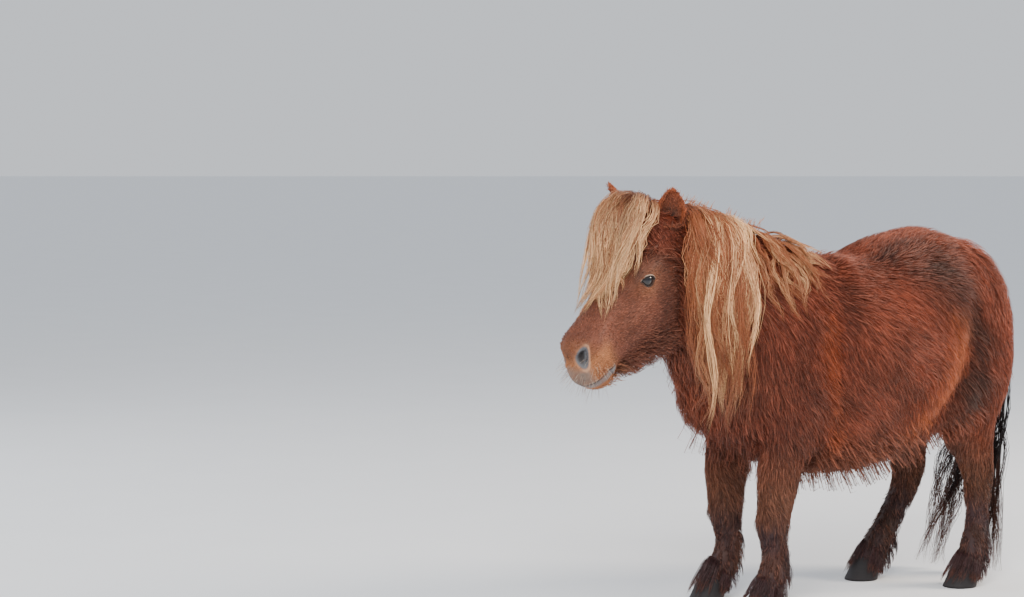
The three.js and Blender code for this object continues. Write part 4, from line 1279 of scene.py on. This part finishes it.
def trace_guides(
    field, roots, headings, lengths, clear, lie_at, *, steps, seed, pull=0.45, cling=0.0, sway=0.0
):
    """Paths and normals as (n, steps + 1, 3). lie_at(points, share) gives the way that the hair falls.

    The hair stays clear, in metres, of the field's form. It clings to the form, pulls to its fall and sways.
    """
    rng = np.random.default_rng(seed)
    phase = rng.uniform(0, 2 * math.pi, len(roots))
    strength = rng.uniform(-1, 1, len(roots)) * sway
    p = roots.copy()
    direction = unit(headings)
    path, normals = [p.copy()], [slope(field, p)]
    for i in range(1, steps + 1):
        share = i / steps
        normal = normals[-1]
        side = unit(np.cross(direction, normal))
        direction = direction * (1 - pull) + lie_at(p, share) * pull
        direction = unit(direction + side * (strength * np.sin(share * 9 + phase))[:, None])
        p = p + direction * (lengths / steps)[:, None]
        value = in_chunks(field, p)
        off = value - clear * min(1.0, i / 2)
        grown = slope(field, p)
        p = p + grown * np.where(off < 0, -off, -cling * np.minimum(off, 0.03))[:, None]
        near = (value < 0.06)[:, None]
        normals.append(unit(np.where(near, 0.5 * normal + 0.5 * grown, normal)))
        path.append(p.copy())
    return np.stack(path, 1), np.stack(normals, 1)


def resample(rows, count):
    """Smooth curves through (n, k, d) rows at count places."""
    n, k, d = rows.shape
    flat = smooth_curve(rows.transpose(1, 0, 2).reshape(k, n * d), np.linspace(0, 1, count))
    return flat.reshape(count, n, d).transpose(1, 0, 2)


def grow_strands(name, guides, tone_of, unwrap, *, each, spread, width, seed, knots=9, wave=0.0):
    """Each guide's strands, spread at the root and drawn together at the tip of a wavy lock.

    guides are the paths and normals of trace_guides, and spread is the lock's width at root and tip.
    """
    rng = np.random.default_rng(seed)
    share = np.linspace(0, 1, knots)
    paths, turned = resample(guides[0], knots), unit(resample(guides[1], knots))
    locks = len(paths)
    side = unit(np.cross(unit(np.gradient(paths, axis=1)), turned))
    bends = share * rng.uniform(9, 17, (locks, 1)) + rng.uniform(0, 6.3, (locks, 1))
    swing = wave * rng.uniform(0.3, 1.3, (locks, 1)) * smoothstep(share, 0.05, 0.6)
    paths = paths + side * (swing * np.sin(bends) * MM)[..., None]
    paths = np.repeat(paths, each, axis=0)
    turned = np.repeat(turned, each, axis=0)
    n = len(paths)
    across = unit(np.cross(unit(np.gradient(paths, axis=1)), turned))
    root, tip = spread
    spread_at = (root * (1 - share) + tip * share + 0.35 * root * np.sin(share * math.pi)) * MM
    offset = rng.normal(0, 0.5, (n, 1)) * spread_at
    lift = np.abs(rng.normal(0, 0.32, (n, 1))) * spread_at
    crimp = rng.uniform(0.2, 1.8, (n, 1))
    crimp = crimp * np.sin(share * rng.uniform(8, 22, (n, 1)) + rng.uniform(0, 6.3, (n, 1)))
    offset = offset + crimp * (2.0 + 0.35 * wave) * MM * smoothstep(share, 0.05, 0.4)
    paths = paths + across * offset[..., None] + turned * lift[..., None]
    cut = rng.uniform(0.72, 1.0, n)
    paths = np.stack([smooth_curve(path, share * c) for path, c in zip(paths, cut)])
    paths[:, 0] -= turned[:, 0] * 4 * MM
    sizes = rng.uniform(0.7, 1.3, (n, 1)) * width * MM
    sizes = sizes * np.minimum(1, 0.5 + 2 * share) * (1 - 0.75 * share**2)
    tones = tone_of(paths, share, np.repeat(np.arange(locks), each), rng)
    return sweep_blades(name, paths, turned, sizes, tones, unwrap(paths[:, 0]), thick=0.5)


def hair_tones(root, middle, tip, shift=0.16):
    """Strands that run from one colour to the next, each a little different, with whole locks apart."""

    def tone_of(paths, share, lock, rng):
        upper = mix(root, middle, smoothstep(share, 0.0, 0.3))
        ramp = mix(upper, tip, smoothstep(share, 0.55, 1))
        own = 1 + shift * rng.normal(size=len(paths)) + 0.12 * rng.normal(size=lock.max() + 1)[lock]
        return ramp[None] * np.clip(own, 0.45, 1.6)[:, None, None]

    return tone_of


CREST = Tube(
    [
        (*spot, 60, 60, 60)
        for spot in [
            (0, -205, 862),
            (0, -290, 878),
            (-2, -400, 912),
            (-5, -500, 946),
            (-9, -585, 968),
            (-13, -640, 974),
        ]
    ]
)


def cast(field, starts, headings, level=0.0, reach=0.42):
    """From places inside the field, along headings, to where it reaches the level."""
    near, far = np.zeros(len(starts)), np.full(len(starts), reach)
    for step in np.arange(0.01, reach, 0.01):
        inside = in_chunks(field, starts + headings * step) < level
        near = np.where(inside & (near >= step - 0.0101), step, near)
    far = near + 0.01
    for _ in range(8):
        half = (near + far) / 2
        inside = in_chunks(field, starts + headings * half[:, None]) < level
        near, far = np.where(inside, half, near), np.where(inside, far, half)
    return starts + headings * near[:, None]


def above_crest(share, degrees, level=0.0):
    centre, side, up, _, _ = CREST.frame(share)
    angle = np.radians(degrees)[:, None]
    return cast(body_field, centre, unit(side * np.cos(angle) + up * np.sin(angle)), level)


# How long the mane is at the withers, on the rear half of the neck and at the poll, in millimetres.
WITHERS_MANE, REAR_MANE, POLL_MANE = 215, 375, 620


def mane_length(share):
    """How far the mane falls, at a share of the way from the withers to the poll."""
    rear = WITHERS_MANE + (REAR_MANE - WITHERS_MANE) * smoothstep(share, 0.1, 0.3)
    return rear + (POLL_MANE - rear) * smoothstep(share, 0.46, 0.64)


def mane_tone(share_of_lock):
    """Cream in the middle of the neck, tangled red-brown in front and thin and reddish behind."""

    def tone_of(paths, share, lock, rng):
        where = share_of_lock[lock]
        bright = bell(where - 0.575, 0.05) + 0.4 * smoothstep(where, 0.42, 0.2)
        own = 0.28 * rng.normal(size=lock.max() + 1)[lock]
        bright = np.clip(bright + own + rng.normal(0, 0.2, len(where)), 0, 1)
        pale = mix(FLAXEN, CREAM, bright)
        dark = mix(MANE_RED, FLAXEN, bright)
        blend = smoothstep(share, 0.02, 0.3) * (1 - 0.35 * smoothstep(share, 0.7, 1))
        blend = blend[None] * (0.25 + 0.75 * bright[:, None])
        tone = dark[:, None] + (pale - dark)[:, None] * blend[..., None]
        return tone * np.clip(1 + 0.15 * rng.normal(size=(len(where), 1, 1)), 0.5, 1.5)

    return tone_of


# Parts of the mane: first and last share of the crest, locks, strands in each, their spread, waves and sway.
MANE_PARTS = {
    "mane_rear": (0.07, 0.48, 50, 13, 7, 9, 0.45),
    "mane_hair": (0.515, 0.635, 34, 27, 12, 6, 0.3),
    "mane_front": (0.62, 0.79, 48, 24, 17, 16, 0.34),
}


def grow_mane(material):
    """The mane's long locks, which fall to the left in three parts."""
    for i, (name, (first, last, count, each, spread, wave, sway)) in enumerate(MANE_PARTS.items()):
        rng = np.random.default_rng(11 + i)
        share = rng.uniform(first, last, count)
        angle = rng.uniform(28, 104, count)
        roots = above_crest(share, angle, -2 * MM)
        high = smoothstep(angle, 30, 100)
        lengths = (mane_length(share) - 110 * (1 - high)) * rng.uniform(0.62, 1.1, count) * MM
        headings = np.stack([np.ones(count), rng.uniform(-0.2, 0.3, count), 0.3 * high], axis=1)
        stray = rng.normal(0, 0.05, count)
        drift = 0.4 * share - 0.3 + np.where(share > 0.7, np.abs(stray), stray)
        drift = np.where(share < 0.5, 0.17 + 1.5 * stray, drift)
        fall = np.stack([rng.uniform(-0.1, 0.08, count), drift, -np.ones(count)], axis=1)
        clear = (3 + 18 * high * smoothstep(share, -0.2, 0.3) + rng.uniform(-2, 3, count)) * MM
        guides = trace_guides(
            body_field, roots, headings, lengths, clear, always(fall), steps=11, seed=12, cling=0.15,
            sway=sway,
        )
        strands = grow_strands(
            name, guides, mane_tone(share), tube_unwrap(TRUNK), each=each, spread=(spread, 2.5), width=1.7,
            seed=13 + i, knots=11, wave=wave,
        )
        dress(strands, material, "mane_hair", *(["mane"] if name == "mane_hair" else []))


def grow_crest(material):
    """The few locks that fall to the right, and short bristles that stand along the crest."""
    # Locks, strands in each, shortest and longest, their heading aside and up, fall, spread and steps.
    parts = {
        "mane_crest": (70, 12, (130, 240), (-1.0, 0.6), (-0.1, 0.2, -1.0), 18, 6),
        "mane_bristles": (95, 5, (25, 62), (0.1, 1.2), (0.05, 0.6, 1.0), 10, 5),
    }
    for i, (name, (count, each, reach, (aside, above), fall, spread, steps)) in enumerate(parts.items()):
        rng = np.random.default_rng(15 + i)
        share = rng.uniform(0.3 * i, 0.85, count)
        roots = above_crest(share, rng.uniform(84, 118, count), -2 * MM)
        lengths = rng.uniform(*reach, count) * MM
        headings = np.stack([aside + 0 * share, rng.uniform(0.0, 0.5, count), above + 0 * share], axis=1)
        clear = rng.uniform(3, 12, count) * MM
        guides = trace_guides(
            body_field, roots, headings, lengths, clear, always(np.array(fall)), steps=steps, seed=16,
            sway=0.25,
        )
        strands = grow_strands(
            name, guides, hair_tones(MANE_RED, FLAXEN, FLAXEN, 0.3), tube_unwrap(TRUNK), each=each,
            spread=(spread, 4), width=1.6, seed=17, knots=steps + 2,
        )
        dress(strands, material, "mane_hair")


def forelock_tone(paths, share, lock, rng):
    """Brown at the roots, then cream in some locks and flaxen in others."""
    pale = np.clip(rng.normal(0.6, 0.35, lock.max() + 1)[lock] + rng.normal(0, 0.3, len(lock)), 0, 1)
    length = mix(FLAXEN, CREAM, pale)
    length = mix(length, MANE_RED, 0.7 * (rng.random(len(lock)) < 0.14))
    blend = smoothstep(share, 0.06, 0.5)[None, :, None]
    tone = MANE_RED * (1 - blend) + length[:, None] * blend
    own = rng.uniform(0.7, 1.1, lock.max() + 1)[lock][:, None, None]
    return tone * own * np.clip(1 + 0.24 * rng.normal(size=(len(lock), 1, 1)), 0.45, 1.5)


def grow_forelock(material):
    """Wavy locks that part over the face, fuller on the right, with thin tips."""
    rng = np.random.default_rng(23)
    count = 66
    across = rng.uniform(-42, 25, count)
    along = rng.uniform(-36, 44, count)
    high = smoothstep(along, 46, -26)
    starts = np.array([on_head(a, x, -60) for a, x in zip(along, across)])
    roots = cast(body_field, starts, np.tile(HEAD_OUT, (count, 1)), -2 * MM, 0.2)
    far = smoothstep(across, 0, -36)
    fan = np.minimum(across, 16) * 0.002 - 0.03 + rng.normal(0, 0.05, count)
    fall = 0.76 * (np.stack([0.87 + 0 * fan, fan, -0.28 + 0 * fan], axis=1) @ HEAD_AXES) + [0, 0, -0.24]
    headings = np.stack([0.8 + 0 * fan, fan, 0.7 * high + 0.1], axis=1) @ HEAD_AXES
    lengths = (290 + 60 * high) * rng.uniform(0.5, 1.3, count) * (1 - 0.003 * np.abs(across)) * MM
    clear = (2 + (11 - 7 * far) * high + rng.uniform(0, 4, count)) * MM
    guides = trace_guides(
        body_field, roots, headings, lengths, clear, always(fall), steps=10, seed=24, cling=0.65, sway=0.45
    )
    strands = grow_strands(
        "forelock_hair", guides, forelock_tone, tube_unwrap(HEAD), each=27, spread=(12, 1.6), width=1.5,
        seed=25, knots=9, wave=7,
    )
    dress(strands, material, "forelock_hair", "forelock")


DOCK = Tube(
    [
        (0, 440, 872, 34, 30, 30),
        (0, 490, 854, 33, 28, 28),
        (-4, 520, 806, 32, 24, 24),
        (-12, 536, 740, 29, 21, 21),
        (-20, 536, 660, 23, 17, 17),
        (-28, 530, 590, 14, 12, 12),
    ],
    cap=14,
)


def grow_tail(material):
    """Long wavy strands from the dock, in two groups, one on each side of the near hind leg."""
    rng = np.random.default_rng(37)
    count = 54
    share = rng.uniform(0.15, 0.95, count)
    centre, side, up, along, reach = DOCK.frame(share)
    angle = rng.uniform(0, 2 * math.pi, count)
    out = side * np.cos(angle)[:, None] + up * np.sin(angle)[:, None]
    roots = centre + out * (0.6 * DOCK.radius(reach, np.cos(angle), np.sin(angle)))[:, None]
    spot = rng.permutation(count) / count
    spot = np.where((spot > 0.3) & (spot < 0.6), spot + 0.35, spot)
    target = place(np.stack([-160 + 200 * spot, 424 + 112 * spot, 18 + 110 * rng.random(count) ** 2], axis=1))
    lengths = np.maximum(roots[:, 2] - target[:, 2], 0.1) * 1.15

    def field(p):
        return np.minimum(DOCK.distance(p), flesh_field(p))

    def lie_at(p, share):
        way = target - p
        way[:, 2] = np.minimum(-0.12, way[:, 2] * 0.9)
        return unit(way)

    clear = rng.uniform(-4, 5, count) * MM
    headings = 0.4 * out + along
    guides, normals = trace_guides(
        field, roots, headings, lengths, clear, lie_at, steps=10, seed=38, pull=0.6, sway=0.22
    )
    guides[..., 2] = np.maximum(guides[..., 2], 12 * MM)
    strands = grow_strands(
        "tail_strands", (guides, normals), hair_tones(TAIL_RED, TAIL_DARK, TAIL_RED, 0.35),
        tube_unwrap(DOCK), each=16, spread=(7, 1.5), width=1.8, seed=39, knots=12, wave=17,
    )
    dress(strands, material, "tail_hair", "tail")


def grow_whiskers(skin, material):
    """Thin bristles round the lips and the chin."""

    def weight_of(middles):
        height, along = mouth_height(middles)
        lips = smoothstep(np.abs(height + 7), 14, 20)
        return smoothstep(along, 400, 430) * lips * bell(height - 4, 36)

    rng = np.random.default_rng(51)
    count = WHISKERS
    roots, normals = sample_surface(skin.data, count, weight_of, rng)
    heading = unit(normals + 0.35 * HEAD_ALONG + np.array([0, 0, -0.3]) + 0.25 * rng.normal(size=(count, 3)))
    lengths = rng.uniform(12, 42, count) * MM
    share = np.linspace(0, 1, 4)
    sag = np.array([0, 0, -0.25]) * lengths[:, None, None] * (share**2)[None, :, None]
    knots = roots[:, None] + heading[:, None] * (lengths[:, None] * share)[..., None] + sag
    across = unit(np.cross(heading, rng.normal(size=(count, 3))))
    widths = 0.6 * MM * np.array([[1, 0.8, 0.6, 0]]) * np.ones((count, 1))
    pale = rng.random(count) < 0.35
    tones = np.where(pale[:, None], LIP_PALE, CHEEK_BROWN)[:, None] * np.ones((1, 4, 1))
    whiskers = sweep_blades("whiskers", knots, across, widths, tones, tube_unwrap(HEAD)(roots))
    dress(whiskers, material, "face_coat")


def coronet_guides(leg, count, rng):
    """Hair from the pastern down over the hoof's wall, all round."""
    angle = rng.uniform(0, 2 * math.pi, count)
    reach = rng.uniform(0.55, 1.0, count)
    steps = np.linspace(-0.5, 1, 7)
    rows = [hoof_wall(leg, angle, np.where(step < 0, step, step * reach)) for step in steps]
    middle = hoof_wall(leg, np.linspace(0, 6.2, 20), 0.3).mean(0)
    out = unit((rows[-1] - middle) * (1, 1, 0))
    lift = 2 + 9 * smoothstep(steps, -0.4, 0.9)
    path = np.stack(rows, axis=1) + out[:, None] * lift[:, None] * MM
    path[..., 2] = np.maximum(path[..., 2], 6 * MM)
    return path, np.repeat(out[:, None], len(steps), axis=1)


def grow_feather(material):
    """Curly wet hair behind each fetlock, and hair over the hoof."""
    rng = np.random.default_rng(57)
    for i, (name, leg) in enumerate(LEGS.items()):
        count = 30
        share = leg.at(rng.uniform(6.4, 9.7, count))
        spread_angle = 30 + 75 * smoothstep(share, leg.at(7.5), leg.at(9.5))
        angle = np.radians(-90 + spread_angle * rng.uniform(-1, 1, count))
        centre, side, up, _, reach = leg.frame(share)
        out = side * np.cos(angle)[:, None] + up * np.sin(angle)[:, None]
        roots = centre + out * (leg.radius(reach, np.cos(angle), np.sin(angle)) - 6 * MM)[:, None]
        lengths = np.minimum(rng.uniform(40, 72, count) * MM, (roots[:, 2] - 9 * MM) * 0.95)
        headings = out * 0.7 + np.array([0, 0, -0.6])
        fall = always(np.array([0.0, 0.3, -1.0]))
        clear = rng.uniform(0, 5, count) * MM
        guides, normals = trace_guides(
            leg.distance, roots, headings, lengths, clear, fall, steps=6, seed=58 + i, cling=0.1, sway=0.5
        )
        guides[..., 2] = np.maximum(guides[..., 2], 8 * MM)
        over, outward = coronet_guides(leg, 38, rng)
        strands = grow_strands(
            f"feather_{name}", (np.concatenate([guides, over]), np.concatenate([normals, outward])),
            hair_tones(LEG_DARK, LEG_DARK, TAIL_RED, 0.3), tube_unwrap(leg), each=8, spread=(9, 2),
            width=1.7, seed=59 + i, knots=6, wave=3,
        )
        dress(strands, material, "lower_leg_coat")


# Eyes and hooves. A sole reaches from its middle, in millimetres, to the toe, to the heel and to each side,
# and its middle lies in front of the pastern's.
SOLE_TOE, SOLE_HEEL, SOLE_SIDE = 53, 42, 44
SOLE_FORWARD = 18
EYE_GAP = 0.5  # between the ball and the inside of the lids
def clean_mesh(obj, merge=0.0):
    """Joins vertices closer than merge and turns all faces outward."""
    bm = bmesh.new()
    bm.from_mesh(obj.data)
    if merge:
        bmesh.ops.remove_doubles(bm, verts=bm.verts, dist=merge)
    bmesh.ops.recalc_face_normals(bm, faces=bm.faces)
    bm.to_mesh(obj.data)
    bm.free()


def make_eye(side, name, material):
    """An eyeball with a raised cornea, a dark iris and a wide, level pupil."""
    centre, out, wide, tall = eye_axes(side)
    segments, rings = 48, 36
    theta = np.linspace(0, math.pi, rings)[:, None]
    phi = np.linspace(0, 2 * math.pi, segments, endpoint=False)[None]
    x, y, z = np.sin(theta) * np.cos(phi), np.sin(theta) * np.sin(phi), np.cos(theta) + 0 * phi
    cornea = 1 + 0.035 * smoothstep(z, 0.72, 0.95)
    local = np.stack([x, y, z], axis=-1).reshape(-1, 3) * cornea.reshape(-1, 1)
    points = centre + (local @ np.array([wide, tall, out])) * (EYE_RADIUS - EYE_GAP) * MM
    index = np.arange(rings * segments).reshape(rings, segments)
    a, b = index[:-1], index[1:]
    faces = np.stack([a, b, np.roll(b, -1, 1), np.roll(a, -1, 1)], axis=-1).reshape(-1, 4)
    if side == RIGHT:
        faces = faces[:, ::-1]
    eye = new_object(f"{name}_ball", points, faces, 4)
    clean_mesh(eye, merge=1e-6)
    local = (read_mesh(eye.data) - centre) / (EYE_RADIUS * MM)
    x, y, z = local @ wide, local @ tall, local @ out
    iris = np.hypot(x, y)
    pupil = smoothstep(np.hypot(x / 0.44, y / 0.26), 1.15, 0.85)
    colour = mix(EYE_BROWN, EYE_DARK, smoothstep(iris, 0.45, 0.72))
    # The pupil is near black, with a blue tint as painted sky reflection.
    colour = mix(colour, PUPIL_DARK_SKY_TINT, pupil)
    colour = mix(colour, EYE_EDGE, smoothstep(iris, 0.86, 0.95))
    set_attribute(eye, "tone", colour * (z > 0)[:, None])
    dress(eye, material, "eye_gloss", name)


def eye_material():
    material, tree, shader = new_material(
        "eye_wet", Roughness=0.12, Specular_IOR_Level=0.2, Coat_Weight=0.8, Coat_Roughness=0.03,
    )
    colour_by_tone(tree, shader, noise_of(tree, 900.0, 3.0), 0.7, 1.3)
    return material


def hoof_wall(leg, angle, share):
    """Places on a hoof's wall. The angle is 90 degrees at the toe, and the share 1 on the ground."""
    centre, side, up, along, reach = (row[0] for row in leg.frame(np.array([1.0])))
    x, y = np.cos(angle), np.sin(angle)
    r = leg.radius(np.tile(reach, (len(angle), 1)), x, y) * 0.9
    upper = centre + side * (x * r)[:, None] + up * (y * r)[:, None]
    toe = np.where(y > 0, SOLE_TOE, SOLE_HEEL) * MM
    sole = np.array([centre[0], centre[1] - SOLE_FORWARD * MM, 0.0])
    lower = sole + np.stack([SOLE_SIDE * MM * x, -toe * y, 0 * x], axis=1)
    return upper + (lower - upper) * np.reshape(share, (-1, 1))


def make_hoof(name, leg, material):
    """A hoof's wall with its growth rings, from the coronet to the flat sole."""
    sides, rings = 40, 12
    angle = np.linspace(0, 2 * math.pi, sides, endpoint=False)
    rows = []
    for k in range(rings):
        share = k / (rings - 1)
        ring = hoof_wall(leg, angle, share)
        middle = ring.mean(0)
        ridge = 1 - 0.012 * (k % 2) - 0.02 * (1 - share) ** 6
        rows.append(middle + (ring - middle) * ridge)
    points = np.concatenate(rows + [rows[0].mean(0, keepdims=True), rows[-1].mean(0, keepdims=True)])
    index = np.arange(rings * sides).reshape(rings, sides)
    a, b = index[:-1], index[1:]
    quads = np.stack([a, np.roll(a, -1, 1), np.roll(b, -1, 1), b], axis=-1).reshape(-1, 4)
    first, last = len(points) - 2, len(points) - 1
    caps = [(first, (i + 1) % sides, i) for i in range(sides)]
    caps += [(last, index[-1, i], index[-1, (i + 1) % sides]) for i in range(sides)]
    triangles = np.concatenate([quads[:, [0, 1, 2]], quads[:, [0, 2, 3]], np.array(caps)])
    hoof = new_object(f"hoof_wall_{name}", points, triangles)
    clean_mesh(hoof)
    dress(hoof, material, "hoof_horn", f"hoof_{name}")


def hoof_material():
    material, tree, shader = new_material("hoof_horn", Roughness=0.75)
    bands = noise_of(tree, 30.0, 6.0, (0.6, 0.6, 9.0))
    colour_by_noise(tree, shader, bands, HOOF_DARK, HOOF_GREY)
    bump_from(tree, shader, bands.outputs[0], 0.4, 1 * MM)
    return material


# The stage. Each light has its place, its width in metres, its power in watts and its colour.
LIGHTS = (
    ("key", (3.4, -3.2, 4.0), 2.6, 330, (1.0, 0.95, 0.88)),
    ("rim", (1.8, 4.2, 3.0), 1.6, 320, (1.0, 0.86, 0.72)),
    ("fill", (-4.0, -3.0, 2.6), 3.0, 80, (0.9, 0.95, 1.0)),
)
SKY_STRENGTH = 0.85


def make_stage():
    """A plain pale floor and the soft light of a studio."""
    bpy.ops.mesh.primitive_plane_add(size=400, location=(0, 0, -0.001))
    floor = bpy.context.object
    floor.name = "floor"
    material, tree, shader = new_material("floor_pale", Roughness=0.9)
    colour_by_noise(tree, shader, noise_of(tree, 3.0), FLOOR_GREY, FLOOR_PALE)
    floor.data.materials.append(material)
    world = bpy.data.worlds.new("studio")
    world.use_nodes = True
    background = world.node_tree.nodes["Background"]
    background.inputs["Color"].default_value = (*SKY, 1)
    background.inputs["Strength"].default_value = SKY_STRENGTH
    bpy.context.scene.world = world
    for name, at, size, power, colour in LIGHTS:
        add_light(name, at, size, power, colour)


def add_light(name, at, size, power, colour):
    light = bpy.data.lights.new(name, "AREA")
    light.size = size
    light.energy = power
    light.color = colour
    obj = bpy.data.objects.new(name, light)
    obj.location = at
    obj.rotation_mode = "QUATERNION"
    obj.rotation_quaternion = (Vector((0, 0, 0.5)) - Vector(at)).to_track_quat("-Z", "Y")
    bpy.context.scene.collection.objects.link(obj)


def make_camera():
    """The photo's camera."""
    data = bpy.data.cameras.new("camera")
    data.sensor_width = SENSOR_WIDTH
    data.lens = CAMERA_LENS_PX / IMAGE_SIZE[0] * data.sensor_width
    data.clip_end = 100
    camera = bpy.data.objects.new("camera", data)
    back = Vector(CAMERA_BACK).normalized()
    camera.rotation_mode = "QUATERNION"
    camera.rotation_quaternion = (-back).to_track_quat("-Z", "Y")
    camera.location = CAMERA_PLACE
    bpy.context.scene.collection.objects.link(camera)
    bpy.context.scene.camera = camera


def build():
    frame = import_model()
    nodes = frame["nodes"]
    skin = make_skin(nodes)
    colour_skin(skin)
    dress(skin, skin_material(), "body_coat", *FLESH)
    coat = hair_material("coat_hair", 0.55, 0.08)
    ear_skin = skin_material()
    for side_name in EARS:
        grow_ear_coat(make_ear(nodes, side_name, ear_skin), side_name, coat)
    grow_body_coat(skin, coat)
    grow_face_coat(skin, coat)
    wet_hair = hair_material("leg_hair", 0.42, 0.0)
    grow_leg_coat(skin, wet_hair)
    grow_feather(wet_hair)
    grow_whiskers(skin, coat)
    long_hair = hair_material("long_hair", 0.4, 0.1, 25.0)
    grow_mane(long_hair)
    grow_crest(long_hair)
    grow_forelock(long_hair)
    grow_tail(hair_material("tail_hair", 0.5, 0.0))
    wet = eye_material()
    make_eye(LEFT, "eye_left", wet)
    make_eye(RIGHT, "eye_right", wet)
    horn = hoof_material()
    for name, leg in LEGS.items():
        make_hoof(name, leg, horn)
    make_stage()
    make_camera()


build()
